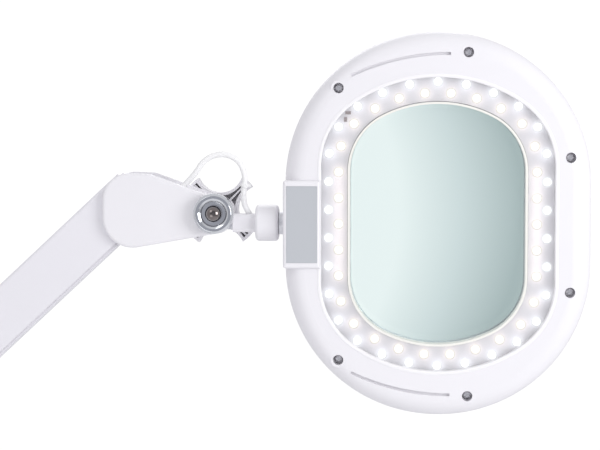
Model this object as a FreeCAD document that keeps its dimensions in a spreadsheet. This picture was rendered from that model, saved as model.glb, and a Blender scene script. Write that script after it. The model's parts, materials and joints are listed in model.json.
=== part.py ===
"""Magnifying lamp on two parallelogram arms with a table clamp, as a parametric FreeCAD document.

Frame: +Z up, +X from the arms toward the lamp head, -Y the face that carries the light. The origin is on
the table top, on the swivel axis of the arms. Millimetres.
"""
import FreeCAD, Part
import Sketcher
import math
import os

from FreeCAD import Placement, Rotation, Vector

SIZES = {
    "arm_length": 400.0,
    "lower_lean": 108.0,
    "upper_lean": 43.0,
    "pivot_gap": 24.0,
    "lower_gap_turn": 195.0,
    "upper_gap_turn": 120.0,
    "channel_width": 30.0,
    "channel_wall": 1.5,
    "channel_back": 8.4,
    "flange_depth": 38.0,
    "inner_gap": 1.0,
    "inner_flange": 16.4,
    "channel_end": 9.0,
    "pivot_pin": 6.0,
    "cheek_wall": 3.0,
    "cheek_inside": 9.2,
    "cover_wall": 6.0,
    "cover_gap": 0.4,
    "base_rise": 92.0,
    "elbow_step": 26.0,
    "elbow_rise": 52.0,
    "wrist_reach": 70.0,
    "wrist_drop": 7.0,
    "head_reach": 169.0,
    "head_drop": 8.4,
    "head_round": 146.0,
    "head_side": 116.0,
    "head_corner": 115.0,
    "head_wall": 2.5,
    "bezel_depth": 20.0,
    "rear_depth": 16.0,
    "bezel_round": 15.0,
    "rear_round": 11.0,
    "window_round": 112.9,
    "window_side": 89.9,
    "window_corner": 60.0,
    "opening_round": 91.2,
    "opening_side": 66.4,
    "opening_corner": 46.0,
    "outer_leds_round": 108.1,
    "outer_leds_side": 82.8,
    "outer_leds_corner": 52.0,
    "inner_leds_round": 99.8,
    "inner_leds_side": 75.1,
    "inner_leds_corner": 43.0,
    "led_count": 30.0,
    "led_width": 5.4,
    "led_height": 1.4,
    "board_wall": 1.6,
    "cover_sheet": 1.8,
    "lens_round": 95.0,
    "lens_side": 70.0,
    "lens_corner": 50.0,
    "lens_edge": 3.0,
    "lens_middle": 14.0,
    "block_width": 28.5,
    "block_height": 67.0,
    "block_front": 23.0,
    "plate_width": 23.6,
    "plate_height": 58.3,
    "neck_height": 14.0,
    "collar_width": 28.0,
    "collar_length": 17.8,
    "shaft_width": 17.7,
    "cup_width": 30.5,
    "cup_height": 10.0,
    "dome_width": 13.0,
    "knob_reach": 30.4,
    "knob_height": 15.0,
    "knob_wall": 2.2,
    "lead_width": 4.4,
    "base_pin_width": 12.7,
    "socket_width": 32.0,
    "socket_height": 46.0,
    "clamp_width": 50.0,
    "clamp_reach": 62.0,
    "clamp_wall": 11.0,
    "clamp_opening": 74.0,
    "clamp_screw_width": 12.0,
}

doc = FreeCAD.newDocument("MagnifyingLamp")
sheet = doc.addObject("Spreadsheet::Sheet", "Sizes")
for row, (word, number) in enumerate(SIZES.items(), start=1):
    sheet.set(f"A{row}", word)
    sheet.set(f"B{row}", str(number))
    sheet.setAlias(f"B{row}", word)
doc.recompute()

NODES = []  # document objects that are written out, one per sub-part

X, Y, Z = Vector(1, 0, 0), Vector(0, 1, 0), Vector(0, 0, 1)
FRONT = Vector(0, -1, 0)


def size(word):
    """Number held by the sheet under an alias."""
    return float(sheet.get(word))


def bound(formula):
    """Expression text in which each alias of the sheet is given its sheet name."""
    words = formula.replace("(", " ( ").replace(")", " ) ").split()
    return " ".join(f"Sizes.{word}" if word in SIZES else word for word in words)


def bind(thing, **formulas):
    """Bind properties of an object to formulas over the sheet's aliases, written with spaces."""
    for name, formula in formulas.items():
        thing.setExpression(name, bound(formula))


def direction(degrees):
    """Unit vector in the XZ plane at an angle from +X toward +Z."""
    return Vector(math.cos(math.radians(degrees)), 0, math.sin(math.radians(degrees)))


def facing(axis):
    """Rotation that takes +Z to an axis."""
    return Rotation(Z, axis)


def keep(thing, label):
    """Mark an object as a sub-part that is written out under a label."""
    thing.Label = label
    NODES.append(thing)
    return thing


def rod(width, length, at, axis=Y):
    """Cylinder of a diameter and length formula, from a point along an axis."""
    solid = doc.addObject("Part::Cylinder", "Rod")
    bind(solid, Radius=f"( {width} ) / 2", Height=length)
    solid.Placement = Placement(at, facing(axis))
    return solid


def block(length, width, height, at, turn=None):
    """Box of three size formulas from its low corner, turned about that corner."""
    solid = doc.addObject("Part::Box", "Block")
    bind(solid, Length=length, Width=width, Height=height)
    solid.Placement = Placement(at, turn or Rotation())
    return solid


def joined(parts, name="Joined"):
    """Several solids made one."""
    whole = doc.addObject("Part::MultiFuse", name)
    whole.Shapes = parts
    whole.Refine = True
    return whole


def without(base, tools, name="Cut"):
    """Base less one tool or several."""
    cut = doc.addObject("Part::Cut", name)
    cut.Base = base
    cut.Tool = tools[0] if len(tools) == 1 else joined(tools, "Tools")
    cut.Refine = True
    return cut


def shared(parts, name="Shared"):
    """The room that several solids have in common."""
    both = doc.addObject("Part::MultiCommon", name)
    both.Shapes = parts
    return both


def group(parts, name="Group"):
    """Several separate solids kept as one sub-part."""
    whole = doc.addObject("Part::Compound", name)
    whole.Links = parts
    return whole


def rounded(base, radius, wanted, name="Rounded"):
    """Fillet of the edges for which wanted(edge) holds; the radius is a number from the sheet."""
    doc.recompute()
    solid = doc.addObject("Part::Fillet", name)
    solid.Base = base
    solid.Edges = [
        (number, radius, radius)
        for number, edge in enumerate(base.Shape.Edges, start=1)
        if wanted(edge)
    ]
    return solid


def along(axis):
    """Test for straight edges that run along an axis."""

    def test(edge):
        return (
            edge.Curve.TypeId == "Part::GeomLine"
            and abs(edge.Curve.Direction.dot(axis)) > 0.999
        )

    return test


def at_depth(depth):
    """Test for edges that lie in one plane of constant Y."""

    def test(edge):
        box = edge.BoundBox
        return abs(box.YMin - depth) < 0.01 and abs(box.YMax - depth) < 0.01

    return test


def plate(outline, thickness, at, name="Plate"):
    """Flat piece across Y: outline of (x, z, corner radius) about a point, from y = at.y toward +Y."""
    points = [Vector(x, 0, z) for x, z, _ in outline]
    pieces, ends = [], []
    count = len(outline)
    for index, (_, _, radius) in enumerate(outline):
        corner = points[index]
        back = (points[index - 1] - corner).normalize()
        ahead = (points[(index + 1) % count] - corner).normalize()
        half = math.acos(max(-1.0, min(1.0, back.dot(ahead)))) / 2
        reach = radius / math.tan(half)
        middle = (back + ahead).normalize()
        centre = corner + middle * (radius / math.sin(half))
        ends.append((corner + back * reach, centre - middle * radius, corner + ahead * reach))
    for index, (start, top, finish) in enumerate(ends):
        previous = ends[index - 1][2]
        if previous.distanceToPoint(start) > 0.001:
            pieces.append(Part.LineSegment(previous, start).toShape())
        if start.distanceToPoint(finish) > 0.001:
            pieces.append(Part.Arc(start, top, finish).toShape())
    face = Part.Face(Part.Wire(Part.__sortEdges__(pieces)))
    solid = doc.addObject("Part::Feature", name)
    solid.Shape = face.extrude(Vector(0, thickness, 0))
    solid.Placement = Placement(at, Rotation())
    return solid


def head_prism(round_to, side_to, corner, depth, at, name="Ring"):
    """Body with the head's outline: a circle cut by two upright flats, its corners rounded.

    The outline is a sketch across Y whose radii and flats are bound to formulas; it is padded from y = at.y
    toward -Y.
    """
    body = doc.addObject("PartDesign::Body", name)
    sketch = body.newObject("Sketcher::SketchObject", f"{name}Outline")
    plane = [part for part in body.Origin.OriginFeatures if part.Role == "XZ_Plane"][0]
    sketch.AttachmentSupport = (plane, "")
    sketch.MapMode = "FlatFace"
    circle, flat, bend = (number_of(formula) for formula in (round_to, side_to, corner))
    centre_x = flat - bend
    centre_y = math.sqrt((circle - bend) ** 2 - centre_x**2)
    lean = math.atan2(centre_y, centre_x)
    turns = [
        (0, 0, circle, lean, math.pi - lean),
        (-centre_x, centre_y, bend, math.pi - lean, math.pi),
        (-centre_x, -centre_y, bend, math.pi, math.pi + lean),
        (0, 0, circle, math.pi + lean, 2 * math.pi - lean),
        (centre_x, -centre_y, bend, -lean, 0),
        (centre_x, centre_y, bend, 0, lean),
    ]
    for x, y, radius, start, finish in turns:
        arc = Part.Circle(Vector(x, y, 0), Z, radius)
        sketch.addGeometry(Part.ArcOfCircle(arc, start, finish), False)
    left = Part.LineSegment(Vector(-flat, centre_y, 0), Vector(-flat, -centre_y, 0))
    right = Part.LineSegment(Vector(flat, -centre_y, 0), Vector(flat, centre_y, 0))
    sketch.addGeometry([left, right], False)
    chain = [(0, 2, 1, 1), (1, 2, 6, 1), (6, 2, 2, 1), (2, 2, 3, 1)]
    chain += [(3, 2, 4, 1), (4, 2, 7, 1), (7, 2, 5, 1), (5, 2, 0, 1)]
    for first, first_end, second, second_end in chain:
        sketch.addConstraint(Sketcher.Constraint("Tangent", first, first_end, second, second_end))
    for arc in (0, 3):
        sketch.addConstraint(Sketcher.Constraint("Coincident", arc, 3, -1, 1))
        sketch.setExpression(
            f"Constraints[{sketch.addConstraint(Sketcher.Constraint('Radius', arc, circle))}]",
            bound(round_to),
        )
    for arc in (1, 2, 4, 5):
        sketch.setExpression(
            f"Constraints[{sketch.addConstraint(Sketcher.Constraint('Radius', arc, bend))}]",
            bound(corner),
        )
    for line, sign in ((6, -1), (7, 1)):
        sketch.addConstraint(Sketcher.Constraint("Vertical", line))
        place = sketch.addConstraint(Sketcher.Constraint("DistanceX", -1, 1, line, 1, sign * flat))
        sketch.setExpression(f"Constraints[{place}]", bound(f"{sign} * ( {side_to} )"))
    pad = body.newObject("PartDesign::Pad", f"{name}Pad")
    pad.Profile = sketch
    bind(pad, Length=depth)
    body.Tip = pad
    body.Placement = Placement(at, Rotation())
    return body


def number_of(formula):
    """Number of a formula made of aliases and numbers joined by + and -, written with spaces."""
    total, sign = 0.0, 1
    for word in formula.split():
        if word in "+-":
            sign = 1 if word == "+" else -1
        else:
            total += sign * (size(word) if word in SIZES else float(word))
    return total


# ---------------------------------------------------------------- main points of the arm's middle plane
base_at = Vector(0, 0, size("base_rise"))
lower_way = direction(size("lower_lean"))
upper_way = direction(size("upper_lean"))
lower_gap = direction(size("lower_gap_turn")) * (size("pivot_gap") / 2)
upper_gap = direction(size("upper_gap_turn")) * (size("pivot_gap") / 2)
elbow_low = base_at + lower_way * size("arm_length")
elbow_high = elbow_low + Vector(size("elbow_step"), 0, size("elbow_rise"))
wrist_at = elbow_high + upper_way * size("arm_length")
joint_at = wrist_at + Vector(size("wrist_reach"), 0, -size("wrist_drop"))
head_at = joint_at + Vector(size("head_reach"), 0, -size("head_drop"))
neck_at = joint_at - Vector(0, 0, size("head_drop"))
PIN_FIT = 0.1
CHEEK_OUT = size("cheek_inside") / 2 + size("cheek_wall")
COVER_IN = size("channel_width") / 2 + size("cover_gap")
COVER_OUT = COVER_IN + size("cover_wall")
EAR = 5.8  # radius of the cheeks' metal round an arm pivot
FLOOR_STOP = 8.0  # an inner channel's floor stops this far from its pivots
FOLD = 2.6  # outside radius of the outer channels' folds
OUTER_ROOM = "channel_width - channel_wall - channel_wall"
INNER_WIDTH = f"{OUTER_ROOM} - inner_gap - inner_gap"
INNER_ROOM = f"{INNER_WIDTH} - channel_wall - channel_wall"
PIN_LENGTH = "channel_width + cover_gap + cover_gap"


def across(point, half):
    """Point moved toward -Y by half of a piece's width."""
    return point + FRONT * half


# ---------------------------------------------------------------- arms
def arm_turn(lean):
    """Rotation that lays local +X along an arm and local +Z toward its outer side."""
    return Rotation(FRONT, lean)


def arm_point(start, turn, x, y, z):
    """Point given along an arm, across it and toward its outer side."""
    return start + turn.multVec(Vector(x, y, z))


def pin_bores(start, turn, width):
    """Bores for the pins at both ends of an arm, through a channel of a width."""
    bores = []
    for far in (0, 1):
        pivot = arm_point(start, turn, far * size("arm_length"), 0, 0)
        bores.append(rod(f"pivot_pin + {PIN_FIT}", f"{width} + 2", across(pivot, number_of(width) / 2 + 1)))
    return bores


def outer_channel(label, start, lean):
    """Folded channel open toward the inner side, with ears at both pivots."""
    turn = arm_turn(lean)
    end, back, wall = size("channel_end"), size("channel_back"), size("channel_wall")
    half, low = size("channel_width") / 2, back - size("flange_depth")
    corner = arm_point(start, turn, -end, -half, low)
    stock = block("arm_length + 2 * channel_end", "channel_width", "flange_depth", corner, turn)
    folded = rounded(stock, FOLD, lambda edge: is_fold(edge, start, turn, back), "Folded")
    corner = arm_point(start, turn, -end - 1, wall - half, low - wall)
    tools = [block("arm_length + 2 * channel_end + 2", OUTER_ROOM, "flange_depth", corner, turn)]
    for mouth in (-end - 1, size("arm_length")):
        corner = arm_point(start, turn, mouth, wall - half, 0)
        tools.append(block("channel_end + 1", OUTER_ROOM, "channel_back + 1", corner, turn))
    return keep(without(folded, tools + pin_bores(start, turn, "channel_width")), label)


def is_fold(edge, start, turn, back):
    """The two long edges of the stock on its outer side."""
    if edge.Curve.TypeId != "Part::GeomLine" or abs(edge.Curve.Direction.dot(turn.multVec(X))) < 0.999:
        return False
    return abs((edge.Vertexes[0].Point - start).dot(turn.multVec(Z)) - back) < 0.01


def inner_channel(label, start, lean):
    """Narrower channel that nests in the outer one, open toward it; its floor stops short of the pivots."""
    turn = arm_turn(lean)
    end, floor, wall = size("channel_end") - 2, size("inner_flange") / 2, size("channel_wall")
    half = number_of(INNER_WIDTH) / 2
    corner = arm_point(start, turn, -end, -half, -floor)
    stock = block("arm_length + 2 * channel_end - 4", INNER_WIDTH, "inner_flange", corner, turn)
    corner = arm_point(start, turn, -end - 1, wall - half, wall - floor)
    tools = [block("arm_length + 2 * channel_end", INNER_ROOM, "inner_flange", corner, turn)]
    for mouth in (-end - 1, size("arm_length") - FLOOR_STOP):
        corner = arm_point(start, turn, mouth, wall - half, -floor - 1)
        tools.append(block(f"channel_end - 1 + {FLOOR_STOP}", INNER_ROOM, "inner_flange", corner, turn))
    return keep(without(stock, tools + pin_bores(start, turn, INNER_WIDTH)), label)


def pivot_pins(label, outer_points, inner_points):
    """Pins of one bracket: long ones through the outer channels, short ones through the inner channels.

    Each has a shoulder between a cheek and the inner channel on either side.
    """
    proud, play = 0.4, 0.2
    shoulder_out = number_of(INNER_ROOM) / 2 - play
    shoulder = f"{shoulder_out - CHEEK_OUT}"
    pins = []
    for points, length in ((outer_points, PIN_LENGTH), (inner_points, f"{INNER_WIDTH} + {2 * proud}")):
        for point in points:
            pins.append(joined([
                rod("pivot_pin", length, across(point, number_of(length) / 2)),
                rod("pivot_pin + 4", shoulder, across(point, shoulder_out)),
                rod("pivot_pin + 4", shoulder, across(point, -CHEEK_OUT)),
            ], "Pin"))
    return keep(group(pins, "Pins"), label)


outer_channel("lower_outer_channel", base_at + lower_gap, size("lower_lean"))
inner_channel("lower_inner_channel", base_at - lower_gap, size("lower_lean"))
outer_channel("upper_outer_channel", elbow_high + upper_gap, size("upper_lean"))
inner_channel("upper_inner_channel", elbow_high - upper_gap, size("upper_lean"))


# ---------------------------------------------------------------- brackets and covers
def hull(circles, thickness, at, name="Hull"):
    """Flat piece across Y whose outline wraps circles given as (x, z, radius) in turn, counter-clockwise."""
    pieces, joints = [], []
    count = len(circles)
    for index in range(count):
        (x1, z1, r1), (x2, z2, r2) = circles[index], circles[(index + 1) % count]
        way = Vector(x2 - x1, 0, z2 - z1)
        gap = way.Length
        turn = math.atan2(way.z, way.x) - math.acos((r1 - r2) / gap)
        out = Vector(math.cos(turn), 0, math.sin(turn))
        joints.append((Vector(x1, 0, z1) + out * r1, Vector(x2, 0, z2) + out * r2))
    for index, (start, finish) in enumerate(joints):
        pieces.append(Part.LineSegment(start, finish).toShape())
        x, z, radius = circles[(index + 1) % count]
        centre = Vector(x, 0, z)
        following = joints[(index + 1) % count][0]
        middle = ((finish - centre) + (following - centre)).normalize()
        pieces.append(Part.Arc(finish, centre + middle * radius, following).toShape())
    face = Part.Face(Part.Wire(Part.__sortEdges__(pieces)))
    solid = doc.addObject("Part::Feature", name)
    solid.Shape = face.extrude(Vector(0, thickness, 0))
    solid.Placement = Placement(at, Rotation())
    return solid


def cheeks(circles, origin, holes):
    """Pair of bracket plates, each side of the middle, with pin holes bored through."""
    plates = []
    for side in (-1, 1):
        y = size("cheek_inside") / 2 if side > 0 else -CHEEK_OUT
        plates.append(hull(circles, size("cheek_wall"), origin + Vector(0, y, 0), "Cheek"))
    bores = []
    for place, width in holes:
        bores.append(rod(width, f"{2 * CHEEK_OUT + 2}", across(origin + place, CHEEK_OUT + 1)))
    return plates, bores


def spot(vector, radius):
    """Circle of a hull: the x and z of a point, and a radius."""
    return (vector.x, vector.z, radius)


def cover_pair(name, circles, origin, posts, bores=()):
    """Two shells outside the arms, each standing on posts that reach the bracket's plates."""
    for side, word in ((-1, "front"), (1, "back")):
        y = COVER_IN if side > 0 else -COVER_OUT
        shell = hull(circles, size("cover_wall"), origin + Vector(0, y, 0), "Shell")
        outer = origin.y + side * COVER_OUT
        shell = rounded(shell, 3.0, at_depth(outer), "ShellRounded")
        feet = []
        for place, width in posts:
            start = -COVER_IN if side < 0 else CHEEK_OUT
            feet.append(rod(width, f"{COVER_IN - CHEEK_OUT}", origin + place + Vector(0, start, 0)))
        solid = joined([shell] + feet, "Shell")
        keep(without(solid, list(bores)) if bores else solid, f"{name}_{word}")


# base bracket: a flanged pin carries two cheeks
flange_z = size("socket_height") + 10.6
pin_solid = joined([
    rod("base_pin_width", "socket_height - 2", Vector(0, 0, flange_z - size("socket_height") + 2), Z),
    rod("socket_width + 4", "4", Vector(0, 0, flange_z), Z),
])
keep(pin_solid, "base_pin")
foot_z = flange_z + 4
base_circles = [
    (-lower_gap.x, -lower_gap.z, EAR),
    (lower_gap.x, lower_gap.z, EAR),
    (-11, foot_z + 6 - base_at.z, 5.9),
    (11, foot_z + 6 - base_at.z, 5.9),
]
plates, bores = cheeks(base_circles, base_at, [(lower_gap, "pivot_pin"), (lower_gap * -1, "pivot_pin")])
foot = block("30", "2 * cheek_wall + cheek_inside", "9", Vector(-15, -CHEEK_OUT, foot_z))
keep(without(joined(plates + [foot]), bores), "base_bracket")
gland_at = Vector(-15, 0, foot_z + 4.5)
gland = joined([rod("7.4", "11", gland_at, X * -1), rod("9", "2", gland_at, X * -1)])
keep(without(gland, [rod("5", "12.2", gland_at, X * -1)]), "lead_gland")
pivot_pins("base_pins", [base_at + lower_gap], [base_at - lower_gap])
base_low = Vector(0, 0, foot_z + 8 - base_at.z)
cover_pair(
    "base_cover",
    [(12, 4, 18), (-12, 2, 18), (-9, base_low.z + 2, 9), (9, base_low.z + 2, 9)],
    base_at,
    [(base_low, "9")],
)

# elbow: cheeks join the head of the lower arm to the foot of the upper arm
to_high = elbow_high - elbow_low
elbow_circles = [
    spot(lower_gap, EAR),
    spot(lower_gap * -1, EAR),
    spot(to_high - upper_gap, EAR),
    spot(to_high + upper_gap, EAR),
]
elbow_pivots = [lower_gap, lower_gap * -1, to_high + upper_gap, to_high - upper_gap]
elbow_holes = [(place, "pivot_pin") for place in elbow_pivots]
plates, bores = cheeks(elbow_circles, elbow_low, elbow_holes)
web = rod("7", "cheek_inside", across(elbow_low + to_high / 2, size("cheek_inside") / 2))
keep(without(joined(plates + [web]), bores), "elbow_bracket")
pivot_pins(
    "elbow_pins",
    [elbow_low + lower_gap, elbow_high + upper_gap],
    [elbow_low - lower_gap, elbow_high - upper_gap],
)
cover_pair(
    "elbow_cover",
    [(-7, -4, 22), (9, -2, 20), (to_high.x + 9, to_high.z + 2, 22), (to_high.x - 8, to_high.z + 6, 22)],
    elbow_low,
    [(to_high / 2, "7")],
)

# wrist: cheeks run forward to the friction joint
to_wrist = wrist_at - joint_at
wrist_circles = [spot(to_wrist - upper_gap, EAR), (0, 0, 11.2), spot(to_wrist + upper_gap, EAR)]
wrist_holes = [(to_wrist + upper_gap, "pivot_pin"), (to_wrist - upper_gap, "pivot_pin"), (Vector(), "8")]
plates, bores = cheeks(wrist_circles, joint_at, wrist_holes)
web = rod("8", "cheek_inside", across(joint_at + Vector(-30, 0, -4), size("cheek_inside") / 2))
keep(without(joined(plates + [web]), bores), "wrist_bracket")
pivot_pins("wrist_pins", [wrist_at + upper_gap], [wrist_at - upper_gap])

wrist_outline = [(-86, 30.8, 20), (-50, 29.5, 8), (12, 7.4, 9), (12, -13.8, 9), (-86, -31.1, 23)]
pad_outline = [(-42, 24, 2), (11, 7, 8), (11, -13, 8), (-42, -22.5, 2)]
for side, word in ((-1, "front"), (1, "back")):
    low = COVER_IN if side > 0 else -COVER_OUT
    shell = plate(wrist_outline, size("cover_wall"), joint_at + Vector(0, low, 0), "Shell")
    shell = rounded(shell, 2.6, at_depth(side * COVER_OUT), "ShellRounded")
    low = CHEEK_OUT if side > 0 else -COVER_IN
    pad = plate(pad_outline, COVER_IN - CHEEK_OUT, joint_at + Vector(0, low, 0), "Pad")
    bore = rod("8", "80", across(joint_at, 40))
    keep(without(joined([shell, pad]), [bore]), f"wrist_cover_{word}")

# ---------------------------------------------------------------- friction joint
cup_y = COVER_OUT
cup = rod("cup_width", "cup_height", across(joint_at, cup_y + size("cup_height")))
cup = rounded(cup, 2.2, at_depth(-cup_y - size("cup_height")), "CupRounded")
dish = rod("cup_width - 8.4", "4.5", across(joint_at, cup_y + size("cup_height")))
shank_hole = rod("8", "cup_height + 2", across(joint_at, cup_y + size("cup_height") + 1))
keep(without(cup, [dish, shank_hole]), "joint_cup")
seat_y = cup_y + size("cup_height") - 4.5
ball = doc.addObject("Part::Sphere", "DomeBall")
bind(ball, Radius="dome_width / 2")
ball.Placement = Placement(across(joint_at, seat_y + 2.0), Rotation())
dome_front = block("20", "20", "20", joint_at + Vector(-10, -seat_y - 20, -10))
dome = shared([ball, dome_front], "Dome")
knob_y = COVER_OUT + 1.4
shank = rod("8", f"{seat_y + knob_y + size('knob_height') - 3}", across(joint_at, seat_y))
keep(joined([dome, shank]), "joint_bolt")

washers = []
for low in (-size("cheek_inside") / 2, 3.05):
    ring = rod("21", f"{size('cheek_inside') / 2 - 3.05}", joint_at + Vector(0, low, 0))
    washers.append(without(ring, [rod("8.4", "60", across(joint_at, 30))]))
keep(group(washers), "friction_washers")

reach = size("knob_reach")
valley, bite = 13.5, 18.6
knob_at = joint_at + Vector(0, knob_y, 0)


def star(grow, length, low):
    """Four-lobed prism: a disc bitten by four round valleys; grow moves its outline in or out."""
    disc = rod(f"2 * ( knob_reach + {grow} )", f"{length}", knob_at + Vector(0, low, 0))
    bites = []
    for turn in range(4):
        centre = direction(90 * turn + 1) * (valley + bite)
        bites.append(rod(f"{2 * (bite - grow)}", f"{length + 2}", knob_at + centre + Vector(0, low - 1, 0)))
    return without(disc, bites, "Star")


hollow_deep = size("knob_height") - size("knob_wall") - 0.4
shell = without(star(0, size("knob_height"), 0), [star(-size("knob_wall"), hollow_deep, -0.01)])
ribs = []
for turn in range(2):
    way = Rotation(FRONT, 46 + 90 * turn)
    corner = way.multVec(Vector(-reach + 1, 1.2, -0.7))
    ribs.append(block("2 * knob_reach - 2", "knob_height - 2", "1.4", knob_at + corner, way))
hub = rod("18", "knob_height - 1", knob_at)
bore = rod("14", "knob_height + 2", knob_at + Vector(0, -1, 0))
keep(without(joined([shell, hub] + ribs), [bore]), "star_knob")
insert = rod("14", "knob_height", knob_at)
keep(without(insert, [rod("8.1", "knob_height + 2", knob_at + Vector(0, -1, 0))]), "knob_insert")

# ---------------------------------------------------------------- neck
bar_start, collar_start = 12.4, 29.8
half_bar = size("neck_height") / 2
tongue = joined([
    rod("25", "6", across(joint_at, 3)),
    block(f"{collar_start}", "6", "6.4", neck_at + Vector(0, -3, -5)),
])
keep(without(tongue, [rod("8.1", "20", across(joint_at, 10))]), "neck_tongue")
split = 1.0
lead_hole = rod("lead_width + 0.8", "14", joint_at + Vector(30.4, 0, -8.7), Vector(-5.6, 0, 7.1))
for word, low, tall in (("upper", split, half_bar - split), ("lower", -half_bar, half_bar + split)):
    corner = neck_at + Vector(bar_start, -half_bar, low)
    shell = block(f"{collar_start - bar_start}", "neck_height", f"{tall}", corner)
    outer_z = neck_at.z + (half_bar if word == "upper" else -half_bar)
    shell = rounded(shell, 3.0, lambda edge: along(X)(edge) and abs(edge.BoundBox.ZMin - outer_z) < 0.1)
    slot = block(f"{collar_start}", "6", "6.4", neck_at + Vector(0, -3, -5))
    keep(without(shell, [slot, lead_hole] if word == "upper" else [slot]), f"neck_shell_{word}")
collar = rod("collar_width", "collar_length", neck_at + Vector(collar_start, 0, 0), X)
collar = rounded(collar, 3.0, lambda edge: edge.Curve.TypeId == "Part::GeomCircle")
keep(without(collar, [rod("10.1", "30", neck_at + Vector(collar_start - 1, 0, 0), X)]), "neck_collar")

block_left = -size("head_side") - 1.0
shoulder = collar_start + size("collar_length") + 0.4
journal = rod("10", f"{shoulder - collar_start - 1}", neck_at + Vector(collar_start + 1, 0, 0), X)
bolt_end = size("head_reach") + block_left + 15
shaft = rod("shaft_width", f"{bolt_end - shoulder}", neck_at + Vector(shoulder, 0, 0), X)
keep(joined([journal, shaft]), "head_shaft")

# ---------------------------------------------------------------- head
bezel_y = size("bezel_depth")


def head(depth_y):
    """Point on the head's axis at a depth from its parting plane."""
    return head_at + Vector(0, depth_y, 0)


def outline(word, grow):
    """Formulas of the circle, flat and corner of one of the head's outlines, moved outward."""
    return [f"{word}_{part} + {grow}" for part in ("round", "side", "corner")]


def housing_half(depth_word, corner, rear):
    """Shell of one half of the head: outside less inside, both with a rounded far edge."""
    depth, wall = size(depth_word), size("head_wall")
    far = depth if rear else -depth
    start = head(depth) if rear else head(0)
    outside = head_prism(*outline("head", 0), depth_word, start, "Outside")
    outside = rounded(outside, corner, at_depth(far))
    start = head(depth - wall) if rear else head(0)
    inside = head_prism(*outline("head", -wall), f"{depth_word} - head_wall", start, "Inside")
    inside = rounded(inside, corner - wall, at_depth(far - wall if rear else far + wall))
    return without(outside, [inside])


screw_spots = [
    (size("head_round") - 18.5, 126),
    (size("head_round") - 14.0, 80),
    (size("head_side") - 4.0, 27),
]
screw_points = [direction(side * turn) * reach_to for side in (1, -1) for reach_to, turn in screw_spots]
box_y = size("block_front")
box_back = 12.0
half_box = size("block_height") / 2


def junction_shape(name):
    """Junction box on the head's left flat, with a lip over the window's rim."""
    lip_depth, lip_reach = 6.0, 3.5
    corner = head_at + Vector(block_left, -box_y, -half_box)
    deep = block("block_width - 3", f"{box_y + box_back}", "block_height", corner)
    corner += X * (size("block_width") - lip_reach)
    lip = block(f"{lip_reach}", f"{lip_depth}", "block_height", corner)
    return joined([deep, lip], name)


# front bezel
bezel = housing_half("bezel_depth", size("bezel_round"), False)
bosses, holes = [], []
for place in screw_points:
    bosses.append(rod("11.5", f"{bezel_y - 3}", head_at + place + Vector(0, 1.5 - bezel_y, 0)))
    holes.append(rod("7.9", "12", head_at + place + Vector(0, -bezel_y - 1, 0)))
    holes.append(rod("3", "24", head_at + place + Vector(0, -bezel_y, 0)))
vents = []
vent_radius, vent_gap, vent_from, vent_to = size("head_round") + 26.0, 2.2, 89.5, 115.2
wedge_reach = vent_radius + 48.0
for side in (1, -1):
    centre = head_at + Vector(8, 0, -43 * side)
    outer = rod(f"{2 * vent_radius + vent_gap}", "6", centre + Vector(0, -bezel_y - 2, 0))
    inner = rod(f"{2 * vent_radius - vent_gap}", "8", centre + Vector(0, -bezel_y - 3, 0))
    far = [direction(side * turn) * wedge_reach for turn in (vent_from, vent_to)]
    corners = [spot(place, 0.01) for place in [Vector()] + far]
    wedge = plate(corners, 10, centre + Vector(0, -bezel_y - 4, 0), "VentWedge")
    vents.append(shared([without(outer, [inner]), wedge], "Vent"))
window = head_prism(*outline("window", 0), "bezel_depth + 4", head(2), "Window")
bezel = without(joined([bezel] + bosses), holes + vents + [window])
keep(without(bezel, [junction_shape("BezelNotch")]), "front_bezel")

# rear housing, with a collar that holds the lens gasket
rear_y = size("rear_depth")
rear = housing_half("rear_depth", size("rear_round"), True)
collar_out = head_prism(*outline("lens", 4.5), "rear_depth - 1", head(rear_y - 0.5), "LensCollar")
collar_in = head_prism(*outline("lens", 2.5), "10", head(8), "LensSeat")
rear_open = head_prism(*outline("lens", -2), "rear_depth + 4", head(rear_y + 2), "RearOpening")
bosses, holes = [], []
for place in screw_points:
    bosses.append(rod("9", f"{rear_y - 2}", head_at + place))
    holes.append(rod("3", "10", head_at + place + Vector(0, -1, 0)))
button_spots = [Vector(-83, 0, 12), Vector(-83, 0, -12)]
for place in button_spots:
    holes.append(rod("9.8", "6", head_at + place + Vector(0, rear_y - 4, 0)))
rear = without(joined([rear, collar_out] + bosses), holes + [collar_in, rear_open])
keep(without(rear, [junction_shape("RearNotch")]), "rear_housing")

# junction box on the side, its plate and the shaft's bore
def box_edge(edge):
    """Long edges of the box's left side and its front face's outline."""
    low = edge.BoundBox
    left = abs(low.XMax - head_at.x - block_left) < 0.01
    front = at_depth(-box_y)(edge)
    return left or front


box = rounded(junction_shape("JunctionBox"), 2.4, box_edge, "BoxRounded")
plate_low = Vector(block_left + 2.6, -box_y, -size("plate_height") / 2)
recess = block("plate_width", "0.8", "plate_height", head_at + plate_low + Vector(0, -0.01, 0))
bore = rod("shaft_width", "15.2", neck_at + Vector(size("head_reach") + block_left - 0.01, 0, 0), X)
keep(without(box, [recess, bore]), "junction_box")
plate_low += Vector(0.1, 0.09, 0.1)
keep(block("plate_width - 0.2", "0.7", "plate_height - 0.2", head_at + plate_low), "side_plate")

# light: board, LEDs, cover sheet, sleeve
board_y = -7.4
board = head_prism(*outline("window", -1.4), "board_wall", head(board_y), "Board")
board_hole = head_prism(*outline("opening", 2.2), "board_wall + 2", head(board_y + 1), "BoardHole")
corner = head_at + Vector(block_left + 10, board_y - 4, -half_box - 2)
left_notch = block("20", "8", "block_height + 4", corner)
keep(without(board, [board_hole, left_notch]), "led_board")


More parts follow.
